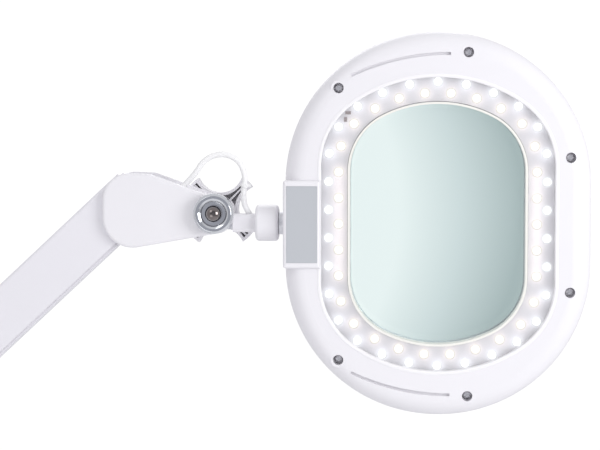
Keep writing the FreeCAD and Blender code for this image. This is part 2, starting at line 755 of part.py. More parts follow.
def outline_points(circle, flat, bend, count, shift):
    """Evenly spaced points along a head outline, from its top, clockwise; shift is a share of one step."""
    centre_x = flat - bend
    centre_y = math.sqrt((circle - bend) ** 2 - centre_x**2)
    lean = math.atan2(centre_y, centre_x)
    parts = [circle * (math.pi / 2 - lean), bend * lean, 2 * centre_y, bend * lean]
    parts += [2 * parts[0], bend * lean, 2 * centre_y, bend * lean, parts[0]]
    points = []
    for index in range(count):
        run = (index + shift) * sum(parts) / count
        piece = 0
        while run > parts[piece]:
            run -= parts[piece]
            piece += 1
        if piece in (0, 4, 8):
            start = {0: math.pi / 2, 4: -lean, 8: math.pi - lean}[piece]
            turn = start - run / circle
            points.append(Vector(circle * math.cos(turn), 0, circle * math.sin(turn)))
        elif piece in (2, 6):
            side = 1 if piece == 2 else -1
            points.append(Vector(side * flat, 0, side * (centre_y - run)))
        else:
            start = {1: lean, 3: 0, 5: math.pi + lean, 7: math.pi}[piece]
            turn = start - run / bend
            side = 1 if piece in (1, 3) else -1
            height = 1 if piece in (1, 7) else -1
            middle = Vector(side * centre_x, 0, height * centre_y)
            points.append(middle + Vector(math.cos(turn), 0, math.sin(turn)) * bend)
    return points


for word, shift, label in (("outer", 0.0, "leds_cool"), ("inner", 0.5, "leds_warm")):
    shape = [size(f"{word}_leds_{part}") for part in ("round", "side", "corner")]
    leds = []
    top = size("led_height") + size("board_wall") - board_y
    for place in outline_points(*shape, int(size("led_count")), shift):
        leds.append(rod("led_width", "led_height", across(head_at + place, top)))
    keep(group(leds, "Leds"), label)

sheet_y = -12.6
cover = head_prism(*outline("window", -0.3), "cover_sheet", head(sheet_y), "CoverSheet")
cover_hole = head_prism(*outline("opening", 1.7), "cover_sheet + 2", head(sheet_y + 1), "CoverHole")
corner = head_at + Vector(block_left + 6.5, sheet_y - 4, -half_box - 2)
left_notch = block("20", "8", "block_height + 4", corner)
keep(without(cover, [cover_hole, left_notch]), "led_cover")
sleeve = head_prism(*outline("opening", 1.6), "12.4", head(-3.1), "Sleeve")
sleeve_hole = head_prism(*outline("opening", 0), "16", head(-1), "SleeveHole")
keep(without(sleeve, [sleeve_hole]), "lens_sleeve")

# lens: two shallow spheres cut to the outline; its gasket grips it all round
lens_y = 2.5


def lens_shape(name):
    """Lens: two shallow spheres of one curve and a prism of the head's outline, and what they share."""
    rise = (size("lens_middle") - size("lens_edge")) / 2
    curve = (size("lens_round") ** 2 + rise**2) / (2 * rise)
    back = head(lens_y + size("lens_middle") / 2 + 1)
    prism = head_prism(*outline("lens", 0), "lens_middle + 2", back, name)
    balls = []
    for side in (-1, 1):
        ball = doc.addObject("Part::Sphere", "LensBall")
        ball.Radius = curve
        ball.Placement = Placement(head(lens_y + side * (curve - size("lens_middle") / 2)), Rotation())
        balls.append(ball)
    return shared([prism] + balls, name)


keep(lens_shape("Lens"), "lens")
gasket = head_prism(*outline("lens", 2.4), "10.8", head(7.9), "Gasket")
gasket_hole = head_prism(*outline("lens", -2), "14", head(10), "GasketHole")
keep(without(gasket, [gasket_hole, lens_shape("GasketLens")]), "lens_gasket")
trim = head_prism(*outline("lens", -2.2), "6", head(rear_y + 0.8), "Trim")
trim_hole = head_prism(*outline("lens", -4.4), "10", head(rear_y + 3), "TrimHole")
keep(without(trim, [trim_hole]), "rear_trim")

# screws in the bezel
screws = []
for place in screw_points:
    head_part = rod("6", "3", head_at + place + Vector(0, -12, 0))
    head_part = rounded(head_part, 1.0, at_depth(-12))
    slots = [block("3.6", "1.4", "0.9", head_at + place + Vector(-1.8, -12.01, -0.45)),
             block("0.9", "1.4", "3.6", head_at + place + Vector(-0.45, -12.01, -1.8))]
    shank = rod("3", "17", head_at + place + Vector(0, -9, 0))
    screws.append(without(joined([head_part, shank]), slots))
keep(group(screws, "Screws"), "bezel_screws")

# driver board and the switches behind the buttons
driver = block("16", "1.6", "56", head_at + Vector(82, 4, -28))
parts = [block("8", "6", "12", head_at + Vector(85, 5.6, 10)), rod("8", "7", head_at + Vector(89, 5.6, -4)),
         block("10", "4", "9", head_at + Vector(84, 5.6, -22))]
keep(joined([driver] + parts), "driver_board")
switch_board = block("11", "1.6", "40", head_at + Vector(-88.5, 5, -20))
switches = [block("6", "3.6", "6", head_at + place + Vector(-3, 6.6, -3)) for place in button_spots]
keep(joined([switch_board] + switches), "switch_board")
for place, label in zip(button_spots, ("power_button", "tone_button")):
    cap = rod("9", "5.6", head_at + place + Vector(0, rear_y - 3.4, 0))
    cap = rounded(cap, 1.0, at_depth(rear_y + 2.2))
    lip = rod("12", "1", head_at + place + Vector(0, rear_y - 3.9, 0))
    keep(joined([cap, lip]), label)

# parts on the LED board
parts = []
part_depth = 1.2
for x, z, long, tall in ((-68, 84.5, 4.2, 2.4), (-70, 79.5, 2.4, 3.6)):
    corner = head_at + Vector(x - long / 2, board_y - size("board_wall") - part_depth, z - tall / 2)
    parts.append(block(f"{long}", f"{part_depth}", f"{tall}", corner))
keep(group(parts, "BoardParts"), "board_parts")

# ---------------------------------------------------------------- lead loop
route = [
    Vector(-28.0, 0, 17.8), Vector(-17.5, 0, 28.0), Vector(-10.0, 0, 40.5),
    Vector(4.0, 0, 45.5), Vector(17.0, 0, 40.0), Vector(22.2, 0, 27.0),
    Vector(19.8, 0, 13.5), Vector(21.6, 0, 2.5), Vector(27.2, 0, -4.6),
]


def smooth_path(points):
    """Straight runs joined by tangent arcs; gives the wire, its length and the smallest bend radius."""
    edges, start, least = [], points[0], 1e9
    for before, corner, after in zip(points, points[1:], points[2:]):
        back, ahead = before - corner, after - corner
        half = (math.pi - back.getAngle(ahead)) / 2
        reach_to = 0.45 * min(back.Length, ahead.Length)
        least = min(least, reach_to / math.tan(half))
        back, ahead = back.normalize(), ahead.normalize()
        first, last = corner + back * reach_to, corner + ahead * reach_to
        centre = corner + (back + ahead).normalize() * (reach_to / math.tan(half) / math.cos(half))
        middle = centre + (corner - centre).normalize() * (reach_to / math.tan(half))
        edges.append(Part.LineSegment(start, first).toShape())
        edges.append(Part.Arc(first, middle, last).toShape())
        start = last
    edges.append(Part.LineSegment(start, points[-1]).toShape())
    return Part.Wire(edges), least


lead_wire, lead_bend = smooth_path([joint_at + place for place in route])
start_ring = Part.Circle(joint_at + route[0], (route[1] - route[0]).normalize(), size("lead_width") / 2)
section = Part.Wire(start_ring.toShape())
lead = doc.addObject("Part::Feature", "Lead")
lead.Shape = lead_wire.makePipeShell([section], True, True)
keep(lead, "lead_loop")
print("lead length", round(lead_wire.Length, 1), "smallest bend", round(lead_bend, 1))
tie_at = joint_at + (route[5] + route[6]) * 0.5
tie_way = (route[6] - route[5]).normalize()
entry_way = (route[1] - route[0]).normalize()
entry_turn = Rotation(FRONT, math.degrees(math.atan2(entry_way.z, entry_way.x)))
entry_at = joint_at + route[0]
entry_low = entry_turn.multVec(Vector(-7.5, -size("cheek_inside") / 2, -3.5))
entry = block("9", "cheek_inside", "7", entry_at + entry_low, entry_turn)
keep(without(entry, [rod("lead_width", "20", entry_at, entry_way)]), "lead_entry")
tie = joined([
    rod("lead_width + 1.8", "2.4", tie_at - tie_way * 1.2, tie_way),
    block("3", "3", "2.6", tie_at + Vector(1.9, -1.5, -1.3)),
])
keep(without(tie, [rod("lead_width", "8", tie_at - tie_way * 4, tie_way)]), "lead_tie")

# ---------------------------------------------------------------- table clamp
wide, wall, opening = size("clamp_width"), size("clamp_wall"), size("clamp_opening")
back_x, pad_depth = -24.0, 2.4
low_z = -opening - wall
height = "clamp_opening + 2 * clamp_wall + 2.4"
spine = block("clamp_wall", "clamp_width", height, Vector(back_x, -wide / 2, low_z))
top_jaw = block("clamp_reach", "clamp_width", "clamp_wall", Vector(back_x, -wide / 2, pad_depth))
low_jaw = block("clamp_reach", "clamp_width", "clamp_wall", Vector(back_x, -wide / 2, low_z))
frame = rounded(joined([spine, top_jaw, low_jaw]), 4.0, along(Y))
socket = rod("socket_width", "socket_height - 3.4", Vector(0, 0, pad_depth + 1), Z)
socket_top = pad_depth + 1 + size("socket_height") - 3.4
screw_x, boss_drop = 12.0, 5.0
boss = rod("2 * clamp_screw_width", f"{wall + boss_drop}", Vector(screw_x, 0, low_z - boss_drop), Z)
bush_foot = pad_depth + 5
bush_hole = rod("base_pin_width + 4", "60", Vector(0, 0, bush_foot), Z)
screw_hole = rod("clamp_screw_width + 0.1", "40", Vector(screw_x, 0, low_z - 10), Z)
keep(without(joined([frame, socket, boss]), [bush_hole, screw_hole]), "clamp_frame")
bush = joined([
    rod("base_pin_width + 4", f"{socket_top - bush_foot}", Vector(0, 0, bush_foot), Z),
    rod("socket_width - 2", f"{flange_z - 0.2 - socket_top}", Vector(0, 0, socket_top), Z),
])
pin_room = rod("base_pin_width + 0.1", "60", Vector(0, 0, bush_foot + 3), Z)
keep(without(bush, [pin_room]), "socket_bush")
corner = Vector(back_x + wall + 5, 3 - wide / 2, 0)
keep(block("clamp_reach - 20", "clamp_width - 6", f"{pad_depth}", corner), "table_pad")

# clamp screw, its knob and its pad, drawn with the pad set for a table of middling thickness
pad_top, knob_width, knob_deep, knob_drop = -34.0, 36.0, 16.0, 41.0
screw_top = pad_top - 6.5
screw_low = low_z - knob_drop - 11
core = rod("clamp_screw_width", f"{screw_top - screw_low}", Vector(screw_x, 0, screw_low), Z)
tip = rod("6", "4.4", Vector(screw_x, 0, screw_top), Z)
keep(joined([core, tip]), "clamp_screw")
grip = rod(f"{knob_width}", f"{knob_deep}", Vector(screw_x, 0, screw_low - 2), Z)
bites = []
for turn in range(6):
    way = Rotation(Z, 60 * turn).multVec(X)
    bites.append(rod("11", "20", Vector(screw_x, 0, screw_low - 4) + way * (knob_width / 2 + 3.5), Z))
stub = rod("20", "6", Vector(screw_x, 0, screw_low + knob_deep - 2), Z)
knob = joined([without(grip, bites), stub])
keep(without(knob, [rod("clamp_screw_width", "40", Vector(screw_x, 0, screw_low), Z)]), "clamp_knob")
disc = rod("34", "5", Vector(screw_x, 0, screw_top + 0.3), Z)
keep(without(disc, [rod("6.2", "4.3", Vector(screw_x, 0, screw_top + 0.2), Z)]), "clamp_pad")
keep(rod("32", f"{pad_top - screw_top - 5.3}", Vector(screw_x, 0, screw_top + 5.3), Z), "pad_rubber")

# ---------------------------------------------------------------- check and write
doc.recompute()
for thing in doc.Objects:
    if "Invalid" in thing.State or "Error" in thing.State:
        raise RuntimeError(f"{thing.Name} {thing.Label} is {thing.State}")
os.makedirs("parts", exist_ok=True)
for thing in NODES:
    if thing.Shape.isNull() or not thing.Shape.isValid():
        raise RuntimeError(f"{thing.Label} has no valid shape")
    thing.Shape.exportStep(f"parts/{thing.Label}.step")
    print(f"{thing.Label}: {len(thing.Shape.Solids)} solids, {thing.Shape.Volume:.0f} mm3")
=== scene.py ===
import json
import math

import bmesh
import bpy
from bpy.props import FloatProperty, FloatVectorProperty, PointerProperty
from bpy.types import Operator, Panel, PropertyGroup
from mathutils import Matrix, Vector


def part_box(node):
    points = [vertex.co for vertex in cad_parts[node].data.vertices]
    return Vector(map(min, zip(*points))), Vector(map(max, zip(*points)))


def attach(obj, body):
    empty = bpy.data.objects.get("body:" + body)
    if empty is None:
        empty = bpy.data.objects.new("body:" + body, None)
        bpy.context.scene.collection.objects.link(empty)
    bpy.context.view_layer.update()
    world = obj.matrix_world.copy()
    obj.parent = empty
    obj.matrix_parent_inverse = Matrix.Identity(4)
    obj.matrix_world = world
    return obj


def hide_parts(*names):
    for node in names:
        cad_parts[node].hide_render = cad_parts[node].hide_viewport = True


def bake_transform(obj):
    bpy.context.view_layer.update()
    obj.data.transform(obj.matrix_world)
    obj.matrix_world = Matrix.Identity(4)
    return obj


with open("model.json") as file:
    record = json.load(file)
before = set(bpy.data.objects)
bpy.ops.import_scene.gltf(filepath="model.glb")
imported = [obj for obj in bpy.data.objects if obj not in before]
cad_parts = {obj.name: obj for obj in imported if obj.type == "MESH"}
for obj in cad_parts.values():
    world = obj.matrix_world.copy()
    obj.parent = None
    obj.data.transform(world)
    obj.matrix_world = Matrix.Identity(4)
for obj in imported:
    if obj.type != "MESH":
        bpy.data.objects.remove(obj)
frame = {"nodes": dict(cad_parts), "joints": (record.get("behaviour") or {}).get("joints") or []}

bl_info = {
    "name": "Magnifying Lamp",
    "version": (1, 0, 0),
    "blender": (4, 5, 0),
    "location": "3D View > Sidebar > Lamp",
    "description": "Dresses the frame of a magnifying lamp with materials, light and fine pieces",
    "category": "Object",
}

NODES = frame["nodes"]
JOINTS = {joint["name"]: joint for joint in frame["joints"]}
MM = 0.001
SAME_POINT = 0.001 * MM
UP = Vector((0, 0, 1))
FRONT = Vector((0, -1, 0))
JOINT_AT = Vector(JOINTS["head_tilt"]["pos_m"])


def middle(node):
    """Centre of a CAD node's box."""
    low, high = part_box(node)
    return (low + high) / 2


HEAD_AT = Vector((middle("lens").x, 0, middle("lens").z))


def linked(name, data):
    """New object in the scene."""
    thing = bpy.data.objects.new(name, data)
    bpy.context.scene.collection.objects.link(thing)
    return thing


def evaluated_mesh(thing):
    """Plain mesh of an object with its modifiers, or of a curve."""
    bpy.context.view_layer.update()
    return bpy.data.meshes.new_from_object(thing.evaluated_get(bpy.context.evaluated_depsgraph_get()))


# ---------------------------------------------------------------- settings
class LampSettings(PropertyGroup):
    """Sizes, colours and strengths that the operators read."""

    cool_power: FloatProperty(
        name="Cool LEDs", description="Emission of the outer row", default=2.0, min=0.0
    )
    warm_power: FloatProperty(
        name="Warm LEDs", description="Emission of the inner row", default=1.9, min=0.0
    )
    shell_colour: FloatVectorProperty(
        name="Shell colour", description="Colour of the mouldings", default=(0.83, 0.82, 0.85),
        min=0.0, max=1.0, subtype="COLOR",
    )
    paint_colour: FloatVectorProperty(
        name="Paint colour", description="Colour of the arms and the clamp", default=(0.80, 0.79, 0.83),
        min=0.0, max=1.0, subtype="COLOR",
    )
    grain_size: FloatProperty(
        name="Grain", description="Repeats of the fine grain in a metre", default=900.0, min=1.0
    )
    dust: FloatProperty(
        name="Dust", description="Dust on faces that look up", default=0.06,
        min=0.0, max=1.0, subtype="FACTOR",
    )
    lead_width: FloatProperty(
        name="Lead width", description="Diameter of the lead", default=0.0044,
        unit="LENGTH", subtype="DISTANCE",
    )
    dome_width: FloatProperty(
        name="LED dome", description="Diameter of an LED's lit dome", default=0.0080,
        unit="LENGTH", subtype="DISTANCE",
    )
    camera_azimuth: FloatProperty(
        name="Camera azimuth", description="Turn of the camera round the lamp",
        default=math.radians(3.5), subtype="ANGLE",
    )
    camera_elevation: FloatProperty(
        name="Camera elevation", description="Height angle of the camera",
        default=math.radians(3.5), subtype="ANGLE",
    )
    camera_distance: FloatProperty(
        name="Camera distance", description="From the middle of the view", default=1.48,
        unit="LENGTH", subtype="DISTANCE",
    )
    camera_focal: FloatProperty(
        name="Focal length", description="In millimetres on a 36 mm sensor", default=115.6, min=10.0
    )


# ---------------------------------------------------------------- node helpers
def maths(nodes, operation, *values):
    """Maths node with the inputs after its first one set."""
    node = nodes.new("ShaderNodeMath")
    node.operation = operation
    for number, value in enumerate(values, 1):
        node.inputs[number].default_value = value
    return node


def noise_on(nodes, link, detail, scale=1.0):
    """Noise in object coordinates."""
    place = nodes.new("ShaderNodeTexCoord")
    noise = nodes.new("ShaderNodeTexNoise")
    noise.inputs["Scale"].default_value = scale
    noise.inputs["Detail"].default_value = detail
    link(place.outputs["Object"], noise.inputs["Vector"])
    return noise


def bump_to(nodes, link, height, depth, normal):
    """Lead a height, bumped by a depth, to a normal socket."""
    bump = nodes.new("ShaderNodeBump")
    bump.inputs["Distance"].default_value = 0.2 * MM
    link(height, bump.inputs["Height"])
    link(depth, bump.inputs["Strength"])
    link(bump.outputs["Normal"], normal)


def product_of_colours(nodes):
    """Mix node that multiplies its two colours."""
    mix = nodes.new("ShaderNodeMix")
    mix.data_type = "RGBA"
    mix.blend_type = "MULTIPLY"
    return mix


def ramp_of(nodes, *stops):
    """Colour ramp through two or more (position, colour) stops, lowest first."""
    ramp = nodes.new("ShaderNodeValToRGB")
    elements = ramp.color_ramp.elements
    elements[0].position = stops[0][0]
    elements[1].position = stops[-1][0]
    for position, colour in stops[1:-1]:
        elements.new(position)
    for element, (position, colour) in zip(elements, stops):
        element.color = (*colour, 1.0)
    return ramp


# ---------------------------------------------------------------- shader groups
def new_group(name, inputs, outputs):
    """Empty shader group with its sockets, and its input and output nodes."""
    group = bpy.data.node_groups.new(name, "ShaderNodeTree")
    for label, kind, default in inputs:
        socket = group.interface.new_socket(label, in_out="INPUT", socket_type=kind)
        if default is not None:
            socket.default_value = default
    for label, kind in outputs:
        group.interface.new_socket(label, in_out="OUTPUT", socket_type=kind)
    return group, group.nodes.new("NodeGroupInput"), group.nodes.new("NodeGroupOutput")


def grain_group(name):
    """Fine moulded or sprayed grain: a bumped normal, and a slow mask for patchiness."""
    group, start, end = new_group(
        name,
        [("Size", "NodeSocketFloat", 900.0), ("Depth", "NodeSocketFloat", 0.1)],
        [("Normal", "NodeSocketVector"), ("Patch", "NodeSocketFloat")],
    )
    nodes, link = group.nodes, group.links.new
    fine = noise_on(nodes, link, 3.0)
    slow = noise_on(nodes, link, 4.0, 9.0)
    link(start.outputs["Size"], fine.inputs["Scale"])
    bump_to(nodes, link, fine.outputs["Fac"], start.outputs["Depth"], end.inputs["Normal"])
    link(slow.outputs["Fac"], end.inputs["Patch"])
    return group


def tone_group(name):
    """Slow drift of a colour, a little darker in some places than in others."""
    group, start, end = new_group(
        name,
        [("Colour", "NodeSocketColor", None), ("Amount", "NodeSocketFloat", 0.04)],
        [("Colour", "NodeSocketColor")],
    )
    nodes, link = group.nodes, group.links.new
    drift = noise_on(nodes, link, 5.0, 14.0)
    darker = maths(nodes, "MULTIPLY")
    darken = product_of_colours(nodes)
    darken.inputs["B"].default_value = (0.0, 0.0, 0.02, 1.0)
    link(drift.outputs["Fac"], darker.inputs[0])
    link(start.outputs["Amount"], darker.inputs[1])
    link(darker.outputs["Value"], darken.inputs["Factor"])
    link(start.outputs["Colour"], darken.inputs["A"])
    link(darken.outputs["Result"], end.inputs["Colour"])
    return group


def dust_group(name):
    """Mask of dust: broken speckle on faces that look up."""
    group, start, end = new_group(
        name, [("Amount", "NodeSocketFloat", 0.06)], [("Mask", "NodeSocketFloat")]
    )
    nodes, link = group.nodes, group.links.new
    speckle = noise_on(nodes, link, 6.0, 260.0)
    geometry = nodes.new("ShaderNodeNewGeometry")
    split = nodes.new("ShaderNodeSeparateXYZ")
    upward = nodes.new("ShaderNodeMapRange")
    upward.inputs["From Min"].default_value = 0.35
    spread = maths(nodes, "MULTIPLY")
    amount = maths(nodes, "MULTIPLY")
    link(geometry.outputs["Normal"], split.inputs["Vector"])
    link(split.outputs["Z"], upward.inputs["Value"])
    link(upward.outputs["Result"], spread.inputs[0])
    link(speckle.outputs["Fac"], spread.inputs[1])
    link(spread.outputs["Value"], amount.inputs[0])
    link(start.outputs["Amount"], amount.inputs[1])
    link(amount.outputs["Value"], end.inputs["Mask"])
    return group


def edge_group(name):
    """Mask of wear along edges, from how far a rounded normal leaves the flat one, broken up by noise."""
    group, start, end = new_group(
        name, [("Amount", "NodeSocketFloat", 0.5)], [("Mask", "NodeSocketFloat")]
    )
    nodes, link = group.nodes, group.links.new
    breaks = noise_on(nodes, link, 5.0, 70.0)
    geometry = nodes.new("ShaderNodeNewGeometry")
    softened = nodes.new("ShaderNodeBevel")
    softened.samples = 4
    softened.inputs["Radius"].default_value = 0.7 * MM
    agree = nodes.new("ShaderNodeVectorMath")
    agree.operation = "DOT_PRODUCT"
    edge = nodes.new("ShaderNodeMapRange")
    edge.inputs["From Min"].default_value = 0.97
    edge.inputs["From Max"].default_value = 0.80
    broken = maths(nodes, "MULTIPLY")
    amount = maths(nodes, "MULTIPLY")
    link(softened.outputs["Normal"], agree.inputs[0])
    link(geometry.outputs["Normal"], agree.inputs[1])
    link(agree.outputs["Value"], edge.inputs["Value"])
    link(edge.outputs["Result"], broken.inputs[0])
    link(breaks.outputs["Fac"], broken.inputs[1])
    link(broken.outputs["Value"], amount.inputs[0])
    link(start.outputs["Amount"], amount.inputs[1])
    link(amount.outputs["Value"], end.inputs["Mask"])
    return group


def lines_group(name):
    """Bumped normal of fine tool marks that run round a turned piece's axis."""
    group, start, end = new_group(
        name,
        [("Axis", "NodeSocketVector", (1.0, 0.0, 0.0)), ("Depth", "NodeSocketFloat", 0.15)],
        [("Normal", "NodeSocketVector")],
    )
    nodes, link = group.nodes, group.links.new
    place = nodes.new("ShaderNodeTexCoord")
    run = nodes.new("ShaderNodeVectorMath")
    run.operation = "DOT_PRODUCT"
    marks = nodes.new("ShaderNodeTexNoise")
    marks.noise_dimensions = "1D"
    marks.inputs["Scale"].default_value = 2600.0
    marks.inputs["Detail"].default_value = 4.0
    link(place.outputs["Object"], run.inputs[0])
    link(start.outputs["Axis"], run.inputs[1])
    link(run.outputs["Value"], marks.inputs["W"])
    bump_to(nodes, link, marks.outputs["Fac"], start.outputs["Depth"], end.inputs["Normal"])
    return group


GROUPS = {
    "FineGrain": grain_group,
    "ToneDrift": tone_group,
    "SettledDust": dust_group,
    "EdgeWear": edge_group,
    "TurnedLines": lines_group,
}


def use_group(material, name, **values):
    """Node in a material that runs a shader group, made when it is first asked for, with inputs set."""
    node = material.node_tree.nodes.new("ShaderNodeGroup")
    node.node_tree = bpy.data.node_groups.get(name) or GROUPS[name](name)
    for label, value in values.items():
        node.inputs[label].default_value = value
    return node


# ---------------------------------------------------------------- materials
def new_material(name):
    """Node material, its nodes and its link call."""
    material = bpy.data.materials.new(name)
    material.use_nodes = True
    return material, material.node_tree.nodes, material.node_tree.links.new


def overlaid(material, below, mask, colour):
    """Colour socket: a colour laid over another one where a mask is set."""
    mix = material.node_tree.nodes.new("ShaderNodeMix")
    mix.data_type = "RGBA"
    mix.inputs["B"].default_value = (*colour, 1.0)
    material.node_tree.links.new(below, mix.inputs["A"])
    material.node_tree.links.new(mask, mix.inputs["Factor"])
    return mix.outputs["Result"]


DUST_COLOUR = (0.62, 0.60, 0.57)
WORN_METAL = (0.85, 0.85, 0.86)


def surface(
    name, colour, rough, metal=0.0, grain=0.0, patch=0.06, coat=0.0, size=None, tone=0.04, wear=None
):
    """Principled material with grain, slow patches of roughness and tone, dust, and worn edges if asked."""
    settings = bpy.context.scene.lamp_settings
    if isinstance(colour, str):
        colour = tuple(getattr(settings, colour))
    material, nodes, link = new_material(name)
    shader = nodes["Principled BSDF"]
    shader.inputs["Metallic"].default_value = metal
    shader.inputs["Coat Weight"].default_value = coat
    shader.inputs["Coat Roughness"].default_value = 0.12
    detail = use_group(material, "FineGrain", Size=size or settings.grain_size, Depth=grain)
    spread = nodes.new("ShaderNodeMapRange")
    spread.inputs["To Min"].default_value = max(0.02, rough - patch)
    spread.inputs["To Max"].default_value = rough + patch
    drift = use_group(material, "ToneDrift", Colour=(*colour, 1.0), Amount=tone)
    paint = drift.outputs["Colour"]
    if wear:
        worn = use_group(material, "EdgeWear", Amount=0.5)
        paint = overlaid(material, paint, worn.outputs["Mask"], wear)
    dust = use_group(material, "SettledDust", Amount=settings.dust)
    paint = overlaid(material, paint, dust.outputs["Mask"], DUST_COLOUR)
    link(paint, shader.inputs["Base Color"])
    link(detail.outputs["Patch"], spread.inputs["Value"])
    link(spread.outputs["Result"], shader.inputs["Roughness"])
    link(detail.outputs["Normal"], shader.inputs["Normal"])
    return material


def turned(name, colour, rough, axis, metal=1.0):
    """Turned metal: fine tool marks round an axis, and slightly brighter worn edges."""
    material = surface(name, colour, rough, metal=metal, patch=0.04, wear=WORN_METAL)
    marks = use_group(material, "TurnedLines", Axis=axis)
    shader = material.node_tree.nodes["Principled BSDF"]
    material.node_tree.links.new(marks.outputs["Normal"], shader.inputs["Normal"])
    return material


def domed_chrome(name):
    """Polished bolt dome: a painted reflection in its base colour, dark brown in its middle and pale only
    at its rim, with white lights from its coat.
    """
    material = surface(name, (0.6, 0.6, 0.62), 0.06, metal=1.0, patch=0.02, coat=1.0)
    nodes, link = material.node_tree.nodes, material.node_tree.links.new
    shader = nodes["Principled BSDF"]
    shader.inputs["Coat Roughness"].default_value = 0.03
    shader.inputs["Coat IOR"].default_value = 2.2
    # painted reflection: the base colour goes by facing from dark brown face on to pale at the rim
    facing = nodes.new("ShaderNodeLayerWeight")
    facing.inputs["Blend"].default_value = 0.5
    tone = ramp_of(nodes, (0.25, (0.09, 0.06, 0.055)), (0.85, (0.62, 0.61, 0.62)))
    link(facing.outputs["Facing"], tone.inputs["Fac"])
    link(tone.outputs["Color"], shader.inputs["Base Color"])
    return material


def glow(name, colour, row):
    """Lit LED dome: brightest face on, fading towards its rim."""
    power = getattr(bpy.context.scene.lamp_settings, f"{row}_power")
    material, nodes, link = new_material(name)
    nodes.remove(nodes["Principled BSDF"])
    facing = nodes.new("ShaderNodeLayerWeight")
    facing.inputs["Blend"].default_value = 0.35
    fade = nodes.new("ShaderNodeMapRange")
    fade.interpolation_type = "SMOOTHSTEP"
    fade.inputs["From Max"].default_value = 0.22
    fade.inputs["To Min"].default_value = power
    fade.inputs["To Max"].default_value = 0.80
    light = nodes.new("ShaderNodeEmission")
    light.inputs["Color"].default_value = (*colour, 1.0)
    link(facing.outputs["Facing"], fade.inputs["Value"])
    link(fade.outputs["Result"], light.inputs["Strength"])
    link(light.outputs["Emission"], nodes["Material Output"].inputs["Surface"])
    return material


def lit_board(name):
    """White solder mask with painted light: an emission that stands in for the glow the LEDs throw round
    themselves.
    """
    material = surface(name, (0.86, 0.85, 0.88), 0.5, grain=0.05)
    nodes, link = material.node_tree.nodes, material.node_tree.links.new
    shader = nodes["Principled BSDF"]
    # painted light: the board glows with the colour stored on its points
    pool = nodes.new("ShaderNodeAttribute")
    pool.attribute_name = "Glow"
    link(pool.outputs["Color"], shader.inputs["Emission Color"])
    shader.inputs["Emission Strength"].default_value = 1.0
    return material


def clear_sheet(name, colour, frost, gloss):
    """Thin clear sheet: mostly straight through, with a grazing reflection and a little milk."""
    material, nodes, link = new_material(name)
    nodes.remove(nodes["Principled BSDF"])
    through = nodes.new("ShaderNodeBsdfTransparent")
    through.inputs["Color"].default_value = (*colour, 1.0)
    milk = nodes.new("ShaderNodeBsdfDiffuse")
    milk.inputs["Color"].default_value = (0.93, 0.93, 0.95, 1.0)
    first = nodes.new("ShaderNodeMixShader")
    first.inputs["Fac"].default_value = frost
    shine = nodes.new("ShaderNodeBsdfGlossy")
    shine.inputs["Roughness"].default_value = 0.08
    graze = nodes.new("ShaderNodeFresnel")
    graze.inputs["IOR"].default_value = gloss
    second = nodes.new("ShaderNodeMixShader")
    link(through.outputs["BSDF"], first.inputs[1])
    link(milk.outputs["BSDF"], first.inputs[2])
    link(graze.outputs["Fac"], second.inputs["Fac"])
    link(first.outputs["Shader"], second.inputs[1])
    link(shine.outputs["BSDF"], second.inputs[2])
    link(second.outputs["Shader"], nodes["Material Output"].inputs["Surface"])
    return material


def lens_glass(name):
    """Polished lens glass that lets light through its shadow."""
    material, nodes, link = new_material(name)
    shader = nodes["Principled BSDF"]
    shader.inputs["Base Color"].default_value = (0.9, 0.97, 0.955, 1.0)
    shader.inputs["Roughness"].default_value = 0.0
    shader.inputs["IOR"].default_value = 1.5
    shader.inputs["Transmission Weight"].default_value = 1.0
    path = nodes.new("ShaderNodeLightPath")
    shade = nodes.new("ShaderNodeBsdfTransparent")
    shade.inputs["Color"].default_value = (0.86, 0.93, 0.92, 1.0)
    mix = nodes.new("ShaderNodeMixShader")
    link(path.outputs["Is Shadow Ray"], mix.inputs["Fac"])
    link(shader.outputs["BSDF"], mix.inputs[1])
    link(shade.outputs["BSDF"], mix.inputs[2])
    link(mix.outputs["Shader"], nodes["Material Output"].inputs["Surface"])
    return material


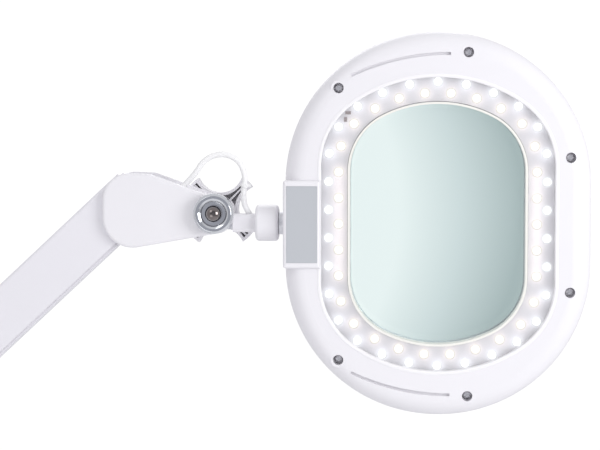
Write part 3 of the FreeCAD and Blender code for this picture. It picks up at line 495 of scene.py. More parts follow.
# name, maker and values of each material, by the look it gives
LOOKS = {
    "shell": ("WhiteShell", surface, dict(colour="shell_colour", rough=0.38, grain=0.10, coat=0.15)),
    "paint": ("WhitePaint", surface, dict(
        colour="paint_colour", rough=0.42, grain=0.22, size=500.0, coat=0.1, wear=(0.66, 0.66, 0.68),
    )),
    "cord": ("WhiteCord", surface, dict(colour=(0.90, 0.90, 0.90), rough=0.5, grain=0.03)),
    "lit": ("LitBoard", lit_board, {}),
    "package": ("LedPackage", surface, dict(colour=(0.9, 0.9, 0.88), rough=0.45)),
    "chrome": ("Chrome", surface, dict(colour=(0.70, 0.72, 0.75), rough=0.09, metal=1.0, patch=0.03)),
    "dome": ("DomedChrome", domed_chrome, {}),
    "shaft": ("Zinc", turned, dict(colour=(0.80, 0.81, 0.84), rough=0.42, axis=(1, 0, 0), metal=0.6)),
    "screw": ("ScrewZinc", surface, dict(colour=(0.97, 0.97, 0.98), rough=0.22, metal=0.9, grain=0.05)),
    "cross_steel": ("CrossSteel", turned, dict(colour=(0.5, 0.51, 0.53), rough=0.3, axis=(0, 1, 0))),
    "upright_steel": ("UprightSteel", turned, dict(colour=(0.5, 0.51, 0.53), rough=0.3, axis=(0, 0, 1))),
    "rubber": ("Rubber", surface, dict(colour=(0.02, 0.02, 0.021), rough=0.7, grain=0.3)),
    "plate": ("SidePlate", surface, dict(colour=(0.50, 0.52, 0.55), rough=0.35, grain=0.05)),
    "brass": ("Brass", turned, dict(colour=(0.72, 0.52, 0.24), rough=0.28, axis=(0, 1, 0))),
    "nylon": ("Nylon", surface, dict(colour=(0.72, 0.70, 0.64), rough=0.5, grain=0.1)),
    "green": ("GreenBoard", surface, dict(colour=(0.03, 0.17, 0.08), rough=0.4, grain=0.1)),
    "brown": ("BrownPart", surface, dict(colour=(0.30, 0.20, 0.18), rough=0.45, grain=0.1)),
    "black": ("BlackPlastic", surface, dict(
        colour=(0.02, 0.02, 0.022), rough=0.45, grain=0.2, wear=(0.09, 0.09, 0.09),
    )),
    "lip": ("WindowLip", surface, dict(colour=(0.90, 0.89, 0.91), rough=0.3, grain=0.05, coat=0.3)),
    "cream": ("CreamSleeve", surface, dict(colour=(0.86, 0.85, 0.80), rough=0.4, grain=0.08)),
    "cool": ("CoolLight", glow, dict(colour=(0.96, 0.98, 1.0), row="cool")),
    "warm": ("WarmLight", glow, dict(colour=(1.0, 0.93, 0.82), row="warm")),
    "cover": ("ClearCover", clear_sheet, dict(colour=(0.97, 0.97, 0.98), frost=0.16, gloss=1.35)),
    "lens": ("LensGlass", lens_glass, {}),
    "floor": ("FloorPaint", surface, dict(colour=(0.86, 0.86, 0.87), rough=0.7)),
}


def material_of(look):
    """Material of a look, made when it is first asked for."""
    name, maker, values = LOOKS[look]
    if name not in bpy.data.materials:
        maker(name, **values)
    return bpy.data.materials[name]


NODE_LOOKS = {
    "shell": [
        "base_cover_front", "base_cover_back", "elbow_cover_front", "elbow_cover_back",
        "wrist_cover_front", "wrist_cover_back", "neck_shell_upper", "neck_shell_lower", "neck_collar",
        "front_bezel", "rear_housing", "junction_box", "star_knob", "power_button", "tone_button",
        "rear_trim", "lead_entry",
    ],
    "paint": [
        "lower_outer_channel", "lower_inner_channel", "upper_outer_channel", "upper_inner_channel",
        "clamp_frame", "base_bracket", "elbow_bracket", "wrist_bracket",
    ],
    "cord": ["lead_loop", "lead_tie", "lead_gland"],
    "lit": ["led_board"],
    "cool": ["leds_cool"],
    "warm": ["leds_warm"],
    "cover": ["led_cover"],
    "lens": ["lens"],
    "cream": ["lens_sleeve"],
    "chrome": ["joint_cup"],
    "dome": ["joint_bolt"],
    "shaft": ["head_shaft", "neck_tongue"],
    "screw": ["bezel_screws"],
    "cross_steel": ["base_pins", "elbow_pins", "wrist_pins"],
    "upright_steel": ["base_pin", "clamp_screw", "clamp_pad"],
    "rubber": ["lens_gasket", "table_pad", "pad_rubber"],
    "plate": ["side_plate"],
    "brass": ["knob_insert"],
    "nylon": ["friction_washers", "socket_bush"],
    "green": ["driver_board", "switch_board"],
    "brown": ["board_parts"],
    "black": ["clamp_knob"],
}


def dress_nodes():
    """Give each CAD node the material of its look."""
    for look, names in NODE_LOOKS.items():
        for name in names:
            slots = NODES[name].data.materials
            slots.clear()
            slots.append(material_of(look))


# ---------------------------------------------------------------- mesh helpers
def new_piece(name, mesh, look, body, replaces=()):
    """Object from a mesh, with its material, its body and the CAD nodes it stands for."""
    piece = linked(name, mesh)
    if look:
        mesh.materials.clear()
        mesh.materials.append(material_of(look))
    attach(piece, body)
    if replaces:
        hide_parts(*replaces)
    return piece


def skin(shape, rows, closed):
    """Faces between rows of points, each a closed loop; the last row meets the first, or both get a cap."""
    pairs = list(zip(rows, rows[1:]))
    if closed:
        pairs.append((rows[-1], rows[0]))
    for row, after in pairs:
        for here in range(len(row)):
            beside = (here + 1) % len(row)
            shape.faces.new((row[here], row[beside], after[beside], after[here]))
    if not closed:
        shape.faces.new(rows[0])
        shape.faces.new(rows[-1])


def finished(name, shape, sharp=None):
    """Mesh of a shape, facing outward; smooth but for corners past an angle, or flat if none is given."""
    bmesh.ops.recalc_face_normals(shape, faces=shape.faces)
    mesh = bpy.data.meshes.new(name)
    shape.to_mesh(mesh)
    shape.free()
    if sharp:
        mesh.shade_smooth()
        mesh.set_sharp_from_angle(angle=math.radians(sharp))
    return mesh


def lathe(name, profile, at, axis, steps=96):
    """Mesh turned round an axis from (radius, height) points; smooth except at sharp corners."""
    shape = bmesh.new()
    turn = axis.to_track_quat("Z", "Y").to_matrix().to_4x4()
    ring = [shape.verts.new((max(radius, 0.0), 0.0, height)) for radius, height in profile]
    edges = [shape.edges.new(pair) for pair in zip(ring, ring[1:])]
    bmesh.ops.spin(
        shape, geom=ring + edges, cent=(0, 0, 0), axis=(0, 0, 1),
        angle=2 * math.pi, steps=steps, use_merge=True,
    )
    bmesh.ops.remove_doubles(shape, verts=shape.verts, dist=SAME_POINT)
    shape.transform(Matrix.Translation(at) @ turn)
    return finished(name, shape, 32)


def rounded_profile(points, steps=5):
    """Profile of (radius, height, corner) points with each corner of non-zero size turned into an arc."""
    profile = []
    for index, (radius, height, corner) in enumerate(points):
        here = Vector((radius, height))
        if corner == 0 or index in (0, len(points) - 1):
            profile.append((radius, height))
            continue
        back = (Vector(points[index - 1][:2]) - here).normalized()
        ahead = (Vector(points[index + 1][:2]) - here).normalized()
        half = back.angle(ahead) / 2
        reach = corner / math.tan(half)
        centre = here + (back + ahead).normalized() * (corner / math.sin(half))
        start, finish = here + back * reach - centre, here + ahead * reach - centre
        for step in range(steps + 1):
            part = start.slerp(finish, step / steps)
            profile.append(tuple(centre + part.normalized() * corner))
    return profile


# ---------------------------------------------------------------- stage
def look_from(azimuth, elevation):
    """Unit vector from the middle of the view back to the camera."""
    flat = math.cos(elevation)
    return Vector((math.sin(azimuth) * flat, -math.cos(azimuth) * flat, math.sin(elevation)))


def add_light(name, place, aim, size, power):
    """Square area light that faces a point."""
    lamp = bpy.data.lights.new(name, "AREA")
    lamp.size, lamp.energy = size, power
    lamp_object = linked(name, lamp)
    lamp_object.location = place
    lamp_object.rotation_euler = (aim - place).to_track_quat("-Z", "Y").to_euler()


def build_world():
    """White to the camera; a soft room for lighting, with a darker viewer's side in reflections."""
    world = bpy.data.worlds.new("Studio")
    bpy.context.scene.world = world
    world.use_nodes = True
    nodes, link = world.node_tree.nodes, world.node_tree.links.new
    place = nodes.new("ShaderNodeTexCoord")
    split = nodes.new("ShaderNodeSeparateXYZ")
    ramp = ramp_of(nodes, (0.0, (0.80, 0.79, 0.82)), (1.0, (0.97, 0.97, 1.0)))
    height = nodes.new("ShaderNodeMapRange")
    height.inputs["From Min"].default_value = -1.0
    room = nodes.new("ShaderNodeBackground")
    room.inputs["Strength"].default_value = 0.78
    white = nodes.new("ShaderNodeBackground")
    white.inputs["Color"].default_value = (1, 1, 1, 1)
    white.inputs["Strength"].default_value = 1.05
    path = nodes.new("ShaderNodeLightPath")
    mix = nodes.new("ShaderNodeMixShader")
    toward = nodes.new("ShaderNodeVectorMath")
    toward.operation = "DOT_PRODUCT"
    toward.inputs[1].default_value = (0.10, -0.97, -0.05)
    patch = ramp_of(nodes, (0.60, (1, 1, 1)), (0.80, (0.35, 0.36, 0.39)), (0.96, (0.62, 0.63, 0.67)))
    shade = product_of_colours(nodes)
    link(place.outputs["Generated"], split.inputs["Vector"])
    link(place.outputs["Generated"], toward.inputs[0])
    link(toward.outputs["Value"], patch.inputs["Fac"])
    link(path.outputs["Is Glossy Ray"], shade.inputs["Factor"])
    link(split.outputs["Z"], height.inputs["Value"])
    link(height.outputs["Result"], ramp.inputs["Fac"])
    link(ramp.outputs["Color"], shade.inputs["A"])
    link(patch.outputs["Color"], shade.inputs["B"])
    link(shade.outputs["Result"], room.inputs["Color"])
    link(path.outputs["Is Camera Ray"], mix.inputs["Fac"])
    link(room.outputs["Background"], mix.inputs[1])
    link(white.outputs["Background"], mix.inputs[2])
    link(mix.outputs["Shader"], nodes["World Output"].inputs["Surface"])


def build_camera(settings, aim):
    """Camera on the line that the settings give, looking at a point."""
    back = look_from(settings.camera_azimuth, settings.camera_elevation)
    camera = bpy.data.cameras.new("Camera")
    camera.lens = settings.camera_focal
    camera.sensor_width = 36.0
    camera_object = linked("Camera", camera)
    camera_object.location = aim + back * settings.camera_distance
    camera_object.rotation_euler = (-back).to_track_quat("-Z", "Y").to_euler()
    bpy.context.scene.camera = camera_object


def build_sheet(name, low, along, across, material):
    """Flat four-cornered sheet of the stage, from one corner along two sides."""
    sheet = bpy.data.meshes.new(name)
    sheet.from_pydata([low, low + along, low + along + across, low + across], [], [(0, 1, 2, 3)])
    sheet.materials.append(material)
    sheet_object = linked(name, sheet)
    return sheet_object


# place and aim of each light from the middle of the view, its size and its power in watts
LIGHTS = {
    "Key": ((-0.9, -1.3, 1.1), (0, 0, 0), 0.9, 3),
    "Side": ((1.0, -0.8, 0.2), (0.2, 0, 0), 0.7, 8),
    "Fill": ((-0.6, -1.2, -0.6), (-0.1, 0, 0), 0.8, 2),
    "Rim": ((-0.2, 1.2, 0.9), (0, 0, 0), 1.0, 5),
}
VIEW_MIDDLE = JOINT_AT + Vector((63.8, 0, -10)) * MM
FLOOR_SIDE = 4.4  # metres, as are the next three
FLOOR_DROP = 0.002  # below the clamp's knob
CARD_SIDE = 1.24
CARD_BEHIND = 0.9  # from the lens back to the card


def build_stage(settings):
    """Camera, studio light, pale floor and the glowing card of painted light and shade that the lens looks
    onto.
    """
    bpy.context.scene.view_settings.view_transform = "Standard"
    build_world()
    build_camera(settings, VIEW_MIDDLE)
    for name, (place, aim, size, power) in LIGHTS.items():
        add_light(name, VIEW_MIDDLE + Vector(place), VIEW_MIDDLE + Vector(aim), size, power)
    floor_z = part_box("clamp_knob")[0].z - FLOOR_DROP
    low = Vector((-FLOOR_SIDE / 2, -FLOOR_SIDE / 2, floor_z))
    build_sheet("Floor", low, Vector((FLOOR_SIDE, 0, 0)), Vector((0, FLOOR_SIDE, 0)), material_of("floor"))
    low = HEAD_AT + Vector((-CARD_SIDE / 2, CARD_BEHIND, -CARD_SIDE / 2))
    card = build_sheet("LensCard", low, Vector((CARD_SIDE, 0, 0)), UP * CARD_SIDE, card_material())
    card.visible_camera = False
    card.visible_diffuse = False
    card.visible_glossy = False
    card.visible_shadow = False


CARD_MIDDLE = Vector((19.0, 0, -48.5)) * MM  # where the line of sight through the lens meets the card


def card_material():
    """Glowing card, seen only through the lens, that goes from pale to mid grey-green across and darkens
    toward top and bottom: painted light and shade seen through the lens.
    """
    material, nodes, link = new_material("CardPaint")
    nodes.remove(nodes["Principled BSDF"])
    place = nodes.new("ShaderNodeTexCoord")
    across = nodes.new("ShaderNodeVectorMath")
    across.operation = "SUBTRACT"
    across.inputs[1].default_value = HEAD_AT + CARD_MIDDLE
    split = nodes.new("ShaderNodeSeparateXYZ")
    side = maths(nodes, "MULTIPLY_ADD", 15.5, 0.5)
    square = maths(nodes, "MULTIPLY")
    ends = maths(nodes, "MULTIPLY_ADD", 92.0)
    # painted light and shade: pale on one side, darker grey-green across and toward top and bottom
    ramp = ramp_of(
        nodes, (0.12, (0.93, 0.97, 0.975)), (0.5, (0.688, 0.753, 0.768)), (0.88, (0.43, 0.50, 0.51))
    )
    light = nodes.new("ShaderNodeEmission")
    link(place.outputs["Object"], across.inputs[0])
    link(across.outputs["Vector"], split.inputs["Vector"])
    link(split.outputs["X"], side.inputs[0])
    link(split.outputs["Z"], square.inputs[0])
    link(split.outputs["Z"], square.inputs[1])
    link(square.outputs["Value"], ends.inputs[0])
    link(side.outputs["Value"], ends.inputs[2])
    link(ends.outputs["Value"], ramp.inputs["Fac"])
    link(ramp.outputs["Color"], light.inputs["Color"])
    link(light.outputs["Emission"], nodes["Material Output"].inputs["Surface"])
    return material


# ---------------------------------------------------------------- lead loop
# control points (x, z) of the lead from the friction joint, in millimetres
ROUTE = [
    (-28.0, 17.8), (-17.5, 28.0), (-10.0, 40.5), (4.0, 45.5), (17.0, 40.0),
    (22.2, 27.0), (19.8, 13.5), (21.6, 2.5), (27.2, -4.6),
]


def route_line():
    """Points of the smooth line through the route, read from its NURBS spline."""
    curve = bpy.data.curves.new("LeadRoute", "CURVE")
    curve.dimensions = "3D"
    curve.resolution_u = 16
    spline = curve.splines.new("NURBS")
    spline.points.add(len(ROUTE) - 1)
    for point, (x, z) in zip(spline.points, ROUTE):
        point.co = (*(JOINT_AT + Vector((x, 0, z)) * MM), 1.0)
    spline.order_u = 3
    spline.use_endpoint_u = True
    holder = linked("LeadRoute", curve)
    line = evaluated_mesh(holder)
    points = [vertex.co.copy() for vertex in line.vertices]
    bpy.data.objects.remove(holder)
    bpy.data.meshes.remove(line)
    return points


def tube(name, points, width, steps=20):
    """Round tube along points that lie in one upright plane across Y."""
    shape = bmesh.new()
    rings = []
    for index, point in enumerate(points):
        ahead = points[min(index + 1, len(points) - 1)] - points[max(index - 1, 0)]
        out = ahead.normalized().cross(FRONT)
        ring = []
        for step in range(steps):
            turn = 2 * math.pi * step / steps
            reach = (out * math.cos(turn) + FRONT * math.sin(turn)) * (width / 2)
            ring.append(shape.verts.new(point + reach))
        rings.append(ring)
    skin(shape, rings, closed=False)
    return finished(name, shape, 40)


def build_lead(settings):
    """The lead that arches over the friction joint."""
    points = route_line()
    lead = linked("lead", tube("lead", points, settings.lead_width))
    tie = linked("tie", NODES["lead_tie"].data.copy())
    for piece, node in ((lead, "lead_loop"), (tie, "lead_tie")):
        piece.data.materials.clear()
        piece.data.materials.append(material_of("cord"))
        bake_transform(piece)
        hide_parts(node)


# ---------------------------------------------------------------- repeated pieces
def islands(node):
    """Centre of the box of each separate solid in a CAD node."""
    shape = bmesh.new()
    shape.from_mesh(NODES[node].data)
    bmesh.ops.remove_doubles(shape, verts=shape.verts, dist=SAME_POINT)
    waiting, centres = set(shape.verts), []
    while waiting:
        open_list, found = [waiting.pop()], []
        while open_list:
            vertex = open_list.pop()
            found.append(vertex.co.copy())
            for edge in vertex.link_edges:
                other = edge.other_vert(vertex)
                if other in waiting:
                    waiting.discard(other)
                    open_list.append(other)
        low = Vector(map(min, *found))
        high = Vector(map(max, *found))
        centres.append((low + high) / 2)
    shape.free()
    return centres


def new_tree(name, sizes):
    """Geometry tree with a geometry input, named sizes and a geometry output."""
    tree = bpy.data.node_groups.new(name, "GeometryNodeTree")
    tree.interface.new_socket("Geometry", in_out="INPUT", socket_type="NodeSocketGeometry")
    for label in sizes:
        tree.interface.new_socket(label, in_out="INPUT", socket_type="NodeSocketFloat")
    tree.interface.new_socket("Geometry", in_out="OUTPUT", socket_type="NodeSocketGeometry")
    return tree, tree.nodes.new("NodeGroupInput"), tree.nodes.new("NodeGroupOutput")


def grown_on(points, tree, sizes):
    """Plain mesh that a geometry tree makes on a set of points."""
    spots = bpy.data.meshes.new("Spots")
    spots.from_pydata(points, [], [])
    holder = linked("Spots", spots)
    modifier = holder.modifiers.new("Grow", "NODES")
    modifier.node_group = tree
    for item in tree.interface.items_tree:
        if item.item_type == "SOCKET" and item.in_out == "INPUT" and item.name in sizes:
            modifier[item.identifier] = sizes[item.name]
    mesh = evaluated_mesh(holder)
    holder.modifiers.clear()
    bpy.data.objects.remove(holder)
    bpy.data.meshes.remove(spots)
    return mesh


def placed(tree, start, shape_socket, material):
    """Branch of a tree: one copy of a shape on every point, facing the front, with its material."""
    nodes, link = tree.nodes, tree.links.new
    copies = nodes.new("GeometryNodeInstanceOnPoints")
    copies.inputs["Rotation"].default_value = (math.pi / 2, 0, 0)
    real = nodes.new("GeometryNodeRealizeInstances")
    paint = nodes.new("GeometryNodeSetMaterial")
    paint.inputs["Material"].default_value = material
    link(start.outputs["Geometry"], copies.inputs["Points"])
    link(shape_socket, copies.inputs["Instance"])
    link(copies.outputs["Instances"], real.inputs["Geometry"])
    link(real.outputs["Geometry"], paint.inputs["Geometry"])
    return paint.outputs["Geometry"]


DOME_FLATNESS = 0.42


def led_tree(glow_material):
    """LED on each point: a round white package with a lit dome."""
    tree, start, end = new_tree("LedRow", ["Package width", "Package height", "Dome width"])
    nodes, link = tree.nodes, tree.links.new
    package = nodes.new("GeometryNodeMeshCylinder")
    package.inputs["Vertices"].default_value = 24
    half_package = maths(nodes, "MULTIPLY", 0.5)
    dome = nodes.new("GeometryNodeMeshUVSphere")
    dome.inputs["Segments"].default_value = 20
    dome.inputs["Rings"].default_value = 10
    half_dome = maths(nodes, "MULTIPLY", 0.5)
    flat = nodes.new("GeometryNodeTransform")
    flat.inputs["Scale"].default_value = (1, 1, DOME_FLATNESS)
    lift = nodes.new("ShaderNodeCombineXYZ")
    join = nodes.new("GeometryNodeJoinGeometry")
    link(start.outputs["Package width"], half_package.inputs[0])
    link(half_package.outputs["Value"], package.inputs["Radius"])
    link(start.outputs["Package height"], package.inputs["Depth"])
    link(start.outputs["Dome width"], half_dome.inputs[0])
    link(half_dome.outputs["Value"], dome.inputs["Radius"])
    link(dome.outputs["Mesh"], flat.inputs["Geometry"])
    link(start.outputs["Package height"], lift.inputs["Z"])
    link(lift.outputs["Vector"], flat.inputs["Translation"])
    link(placed(tree, start, package.outputs["Mesh"], material_of("package")), join.inputs["Geometry"])
    link(placed(tree, start, flat.outputs["Geometry"], glow_material), join.inputs["Geometry"])
    link(join.outputs["Geometry"], end.inputs["Geometry"])
    return tree


def rim_line(round_to, side_to, corner, steps=40):
    """Outward-ordered points (x, z) of a circle cut off at both sides, its four corners rounded."""
    centre_x = side_to - corner
    centre_z = math.sqrt((round_to - corner) ** 2 - centre_x ** 2)
    lean = math.atan2(centre_z, centre_x)
    quarter = []
    for step in range(steps + 1):
        turn = lean * step / steps
        quarter.append(Vector((centre_x + corner * math.cos(turn), centre_z + corner * math.sin(turn))))
    for step in range(1, steps + 1):
        turn = lean + (math.pi / 2 - lean) * step / steps
        quarter.append(Vector((round_to * math.cos(turn), round_to * math.sin(turn))))
    half = quarter + [Vector((-point.x, point.y)) for point in reversed(quarter[:-1])]
    return half + [-point for point in half]


def outward(line):
    """Unit vector pointing out of a closed line of (x, z) points, at each point."""
    ways = []
    for index in range(len(line)):
        along = line[(index + 1) % len(line)] - line[index - 1]
        ways.append(Vector((along.y, -along.x)).normalized())
    return ways


def ring_strip(name, line, profile):
    """Mesh swept round the head along a line of (x, z); the profile is (out, y), in millimetres."""
    shape = bmesh.new()
    rows = []
    for point, way in zip(line, outward(line)):
        spots = [(point + way * out, y) for out, y in profile]
        rows.append([shape.verts.new(HEAD_AT + Vector((spot.x, y, spot.y)) * MM) for spot, y in spots])
    skin(shape, rows, closed=True)
    return finished(name, shape, 50)


# reach of the round ends, reach of the flat sides and corner, in millimetres
WINDOW = (112.9, 89.9, 60.0)
OPENING = (91.2, 66.4, 46.0)


# section of the bead round the window, in millimetres: out from the window's edge, back from the bezel
LIP_SECTION = [
    (-1.7, 8.5), (-1.7, 0.3), (-1.5, -0.15), (-1.0, -0.4), (-0.1, -0.45),
    (0.6, -0.3), (1.1, 0.05), (1.3, 0.6), (-0.6, 1.6), (-0.6, 8.5),
]


def build_lip():
    """Rounded bead round the window of the bezel."""
    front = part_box("front_bezel")[0].y / MM
    profile = [(out, front + back) for out, back in LIP_SECTION]
    mesh = ring_strip("WindowLip", rim_line(*WINDOW), profile)
    new_piece("window_lip", mesh, "lip", "head")


BOARD_INSET = 2.2  # millimetres from the lens opening out to the board's inner edge
BOARD_GAP = 0.7  # millimetres from the window in to the board's outer edge
BOARD_STEPS = 26
BOARD_CORNER_STEPS = 60
# painted light on the board: a tinted pool round each LED over an even base glow
GLOW_REACH = 5.0  # millimetres
GLOW_PEAK = 0.44
GLOW_BASE = 0.19
GLOW_TINTS = {"cool": Vector((0.94, 0.96, 1.0)), "warm": Vector((1.0, 0.84, 0.76))}


def add_glow(mesh):
    """Store on each point of a board the painted light of all the LEDs that reach it, over an even painted
    base glow.
    """
    glow_at = mesh.color_attributes.new("Glow", "FLOAT_COLOR", "POINT")
    spots_of = {look: islands("leds_" + look) for look in GLOW_TINTS}
    for index, vertex in enumerate(mesh.vertices):
        total = Vector((GLOW_BASE, GLOW_BASE, GLOW_BASE))
        for look, spots in spots_of.items():
            for spot in spots:
                distance = math.hypot(vertex.co.x - spot.x, vertex.co.z - spot.z) / MM
                total += GLOW_TINTS[look] * (GLOW_PEAK * math.exp(-((distance / GLOW_REACH) ** 2)))
        glow_at.data[index].color = (*total, 1.0)


def build_board():
    """LED board, finely divided so that it can hold the painted glow of the LEDs."""
    low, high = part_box("led_board")
    front, back = low.y / MM, high.y / MM
    inner = rim_line(*(size + BOARD_INSET for size in OPENING), steps=BOARD_CORNER_STEPS)
    outer = rim_line(*(size - BOARD_GAP for size in WINDOW), steps=BOARD_CORNER_STEPS)
    shape = bmesh.new()
    rows = []
    for near, far in zip(inner, outer):
        spots = [(near.lerp(far, step / BOARD_STEPS), front) for step in range(BOARD_STEPS + 1)]
        spots += [(far, back), (near, back)]
        rows.append([shape.verts.new(HEAD_AT + Vector((spot.x, y, spot.y)) * MM) for spot, y in spots])
    skin(shape, rows, closed=True)
    mesh = finished("LedBoard", shape)
    add_glow(mesh)
    new_piece("lit_board", mesh, "lit", "head", replaces=["led_board"])


# curve of each slot, in millimetres and degrees from the head's middle
SLOT_CENTRE = (8, 43)  # along X, and across to the far side of the head
SLOT_RADIUS = 172.0
SLOT_START = 88.5
SLOT_SWEEP = 28
SLOT_STEPS = 32
LINER_WIDTH = 3.6
LINER_DEPTHS = (2.5, 3.3)  # behind the bezel's front


def build_liners():
    """Pale strip behind each of the two curved slots of the bezel."""
    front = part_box("front_bezel")[0].y / MM
    near, far = (front + depth for depth in LINER_DEPTHS)
    inside, outside = SLOT_RADIUS - LINER_WIDTH / 2, SLOT_RADIUS + LINER_WIDTH / 2
    section = ((inside, near), (inside, far), (outside, far), (outside, near))
    centre_x, centre_z = SLOT_CENTRE
    for number, side in enumerate((1, -1), 1):
        shape = bmesh.new()
        rows = []
        for step in range(SLOT_STEPS + 1):
            turn = math.radians(SLOT_START + SLOT_SWEEP * step / SLOT_STEPS) * side
            row = []
            for radius, y in section:
                x, z = centre_x + radius * math.cos(turn), radius * math.sin(turn) - centre_z * side
                row.append(shape.verts.new(HEAD_AT + Vector((x, y, z)) * MM))
            rows.append(row)
        skin(shape, rows, closed=False)
        new_piece(f"vent_liner_{number}", finished("VentLiner", shape), "shell", "head")


LED_BACK = Vector((0, 0.2, 0)) * MM  # how far a package sits behind the middle of its CAD piece
PACKAGE_WIDTH = 5.4 * MM
PACKAGE_HEIGHT = 1.0 * MM


def build_leds(settings):
    """Two rows of LEDs round the lens: cool outside, warm inside."""
    sizes = {
        "Package width": PACKAGE_WIDTH, "Package height": PACKAGE_HEIGHT, "Dome width": settings.dome_width,
    }
    for look in ("cool", "warm"):
        row = "leds_" + look
        points = [point + LED_BACK for point in islands(row)]
        mesh = grown_on(points, led_tree(material_of(look)), sizes)
        new_piece(row + "_lit", mesh, None, "head", replaces=[row])


SCREW_WIDTH = 6.0
SCREW_HEIGHT = 2.3
CROSS_BLADE = (4.2, 1.0, 3.0)
CROSS_HEIGHT = 2.4
CROSS_TURN = 28  # degrees


def screw_head():
    """Pan head with a cross recess, standing on the origin along Z."""
    wide, high = SCREW_WIDTH / 2, SCREW_HEIGHT
    profile = rounded_profile(
        [(0, high, 0), (1.7, high - 0.05, 0.6), (wide, 1.3, 0.7), (wide, -0.7, 0.2), (0, -0.7, 0)]
    )
    head = lathe("ScrewHead", [(r * MM, h * MM) for r, h in profile], Vector(), UP, 40)
    cutter = bmesh.new()
    for turn in (0, 90):
        size = Matrix.Diagonal((*CROSS_BLADE, 1))
        lifted = Matrix.Scale(MM, 4) @ Matrix.Translation((0, 0, CROSS_HEIGHT)) @ size
        blade_place = Matrix.Rotation(math.radians(CROSS_TURN + turn), 4, "Z") @ lifted
        bmesh.ops.create_cube(cutter, size=1.0, matrix=blade_place)
    blade = bpy.data.meshes.new("Cross")
    cutter.to_mesh(blade)
    cutter.free()
    head_object, blade_object = linked("ScrewHead", head), linked("Cross", blade)
    cut = head_object.modifiers.new("Cross", "BOOLEAN")
    cut.object = blade_object
    cut.operation = "DIFFERENCE"
    cut.use_self = True
    mesh = evaluated_mesh(head_object)
    for item in (head_object, blade_object):
        bpy.data.objects.remove(item)
    mesh.shade_smooth()
    mesh.set_sharp_from_angle(angle=math.radians(35))
    return mesh


def build_screws():
    """Cross-head screws in the recesses of the bezel."""
    tree, start, end = new_tree("BezelScrews", ["Scale"])
    head = linked("OneScrew", screw_head())
    source = tree.nodes.new("GeometryNodeObjectInfo")
    source.inputs["Object"].default_value = head
    link = tree.links.new
    sized = tree.nodes.new("GeometryNodeTransform")
    evenly = tree.nodes.new("ShaderNodeCombineXYZ")
    for axis in "XYZ":
        link(start.outputs["Scale"], evenly.inputs[axis])
    link(evenly.outputs["Vector"], sized.inputs["Scale"])
    link(source.outputs["Geometry"], sized.inputs["Geometry"])
    link(placed(tree, start, sized.outputs["Geometry"], material_of("screw")), end.inputs["Geometry"])
    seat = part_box("bezel_screws")[0].y + SCREW_HEIGHT * MM
    points = [Vector((spot.x, seat, spot.z)) for spot in islands("bezel_screws")]
    mesh = grown_on(points, tree, {"Scale": SCREW_WIDTH * MM / head.dimensions.x})
    bpy.data.objects.remove(head)
    new_piece("screw_heads", mesh, None, "head", replaces=["bezel_screws"])


# ---------------------------------------------------------------- turned pieces
# radii and depths inside the cup of the friction joint, in millimetres
CUP_BORE = 4.1
CUP_DISH = 4.3
CUP_RIM = 11.5
CUP_SLOPE = (9.8, 0.95)
CUP_FLOOR = 9.4


def build_joint():
    """Polished cup on the front of the friction joint, dished round its bolt."""
    low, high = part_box("joint_cup")
    deep = (high.y - low.y) / MM
    wide = (high.x - low.x) / 2 / MM
    slope_at, slope_down = CUP_SLOPE
    profile = rounded_profile([
        (CUP_BORE, 0.0, 0), (wide, 0.0, 0.4), (wide, deep - 1.6, 0.9), (wide - 1.8, deep, 0.7),
        (CUP_RIM, deep - 0.05, 0.3), (slope_at, deep - slope_down, 0.2),
        (CUP_FLOOR, deep - CUP_DISH, 0.3), (CUP_BORE, deep - CUP_DISH, 0),
    ])
    place = Vector((JOINT_AT.x, high.y, JOINT_AT.z))
    cup = lathe("cup", [(r * MM, h * MM) for r, h in profile], place, FRONT)
    new_piece("polished_cup", cup, "chrome", "wrist", replaces=["joint_cup"])


# ---------------------------------------------------------------- operators
class LAMP_OT_stage(Operator):
    """Camera, light, floor and the card behind the lens"""
    bl_idname = "lamp.stage"
    bl_label = "Stage"

    def execute(self, context):
        build_stage(context.scene.lamp_settings)
        return {"FINISHED"}


class LAMP_OT_lead(Operator):
    """Lead that arches over the friction joint"""
    bl_idname = "lamp.lead"
    bl_label = "Lead"

    def execute(self, context):
        build_lead(context.scene.lamp_settings)
        return {"FINISHED"}


class LAMP_OT_castings(Operator):
    """Materials of the mouldings, channels and fittings of the frame"""
    bl_idname = "lamp.castings"
    bl_label = "Mouldings and metal"

    def execute(self, context):
        dress_nodes()
        return {"FINISHED"}


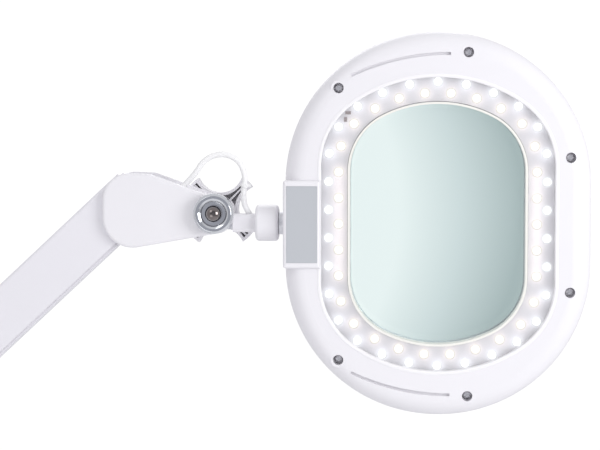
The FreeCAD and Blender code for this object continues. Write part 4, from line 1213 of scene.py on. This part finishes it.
class LAMP_OT_leds(Operator):
    """Rows of lit LEDs"""
    bl_idname = "lamp.leds"
    bl_label = "LEDs"

    def execute(self, context):
        build_leds(context.scene.lamp_settings)
        return {"FINISHED"}


class LAMP_OT_bezel(Operator):
    """Window bead, lit board and slot liners of the head"""
    bl_idname = "lamp.bezel"
    bl_label = "Bezel and board"

    def execute(self, context):
        build_lip()
        build_board()
        build_liners()
        return {"FINISHED"}


class LAMP_OT_screws(Operator):
    """Screws of the bezel"""
    bl_idname = "lamp.screws"
    bl_label = "Screws"

    def execute(self, context):
        build_screws()
        return {"FINISHED"}


class LAMP_OT_joint(Operator):
    """Polished cup of the friction joint"""
    bl_idname = "lamp.joint"
    bl_label = "Friction joint"

    def execute(self, context):
        build_joint()
        return {"FINISHED"}


class LAMP_PT_panel(Panel):
    """Buttons for each group of pieces, and the settings they read"""
    bl_idname = "LAMP_PT_panel"
    bl_label = "Magnifying Lamp"
    bl_space_type = "VIEW_3D"
    bl_region_type = "UI"
    bl_category = "Lamp"

    def draw(self, context):
        for operator in OPERATORS:
            self.layout.operator(operator.bl_idname)
        for name in LampSettings.__annotations__:
            self.layout.prop(context.scene.lamp_settings, name)


OPERATORS = [
    LAMP_OT_stage,
    LAMP_OT_lead,
    LAMP_OT_castings,
    LAMP_OT_bezel,
    LAMP_OT_leds,
    LAMP_OT_screws,
    LAMP_OT_joint,
]
CLASSES = [LampSettings, *OPERATORS, LAMP_PT_panel]


def register():
    for item in CLASSES:
        bpy.utils.register_class(item)
    bpy.types.Scene.lamp_settings = PointerProperty(type=LampSettings)


def unregister():
    del bpy.types.Scene.lamp_settings
    for item in reversed(CLASSES):
        bpy.utils.unregister_class(item)


def main():
    """Build the whole scene."""
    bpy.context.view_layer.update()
    register()
    bpy.ops.lamp.stage()
    bpy.ops.lamp.lead()
    bpy.ops.lamp.castings()
    bpy.ops.lamp.bezel()
    bpy.ops.lamp.leds()
    bpy.ops.lamp.screws()
    bpy.ops.lamp.joint()


if __name__ == "__main__":
    main()
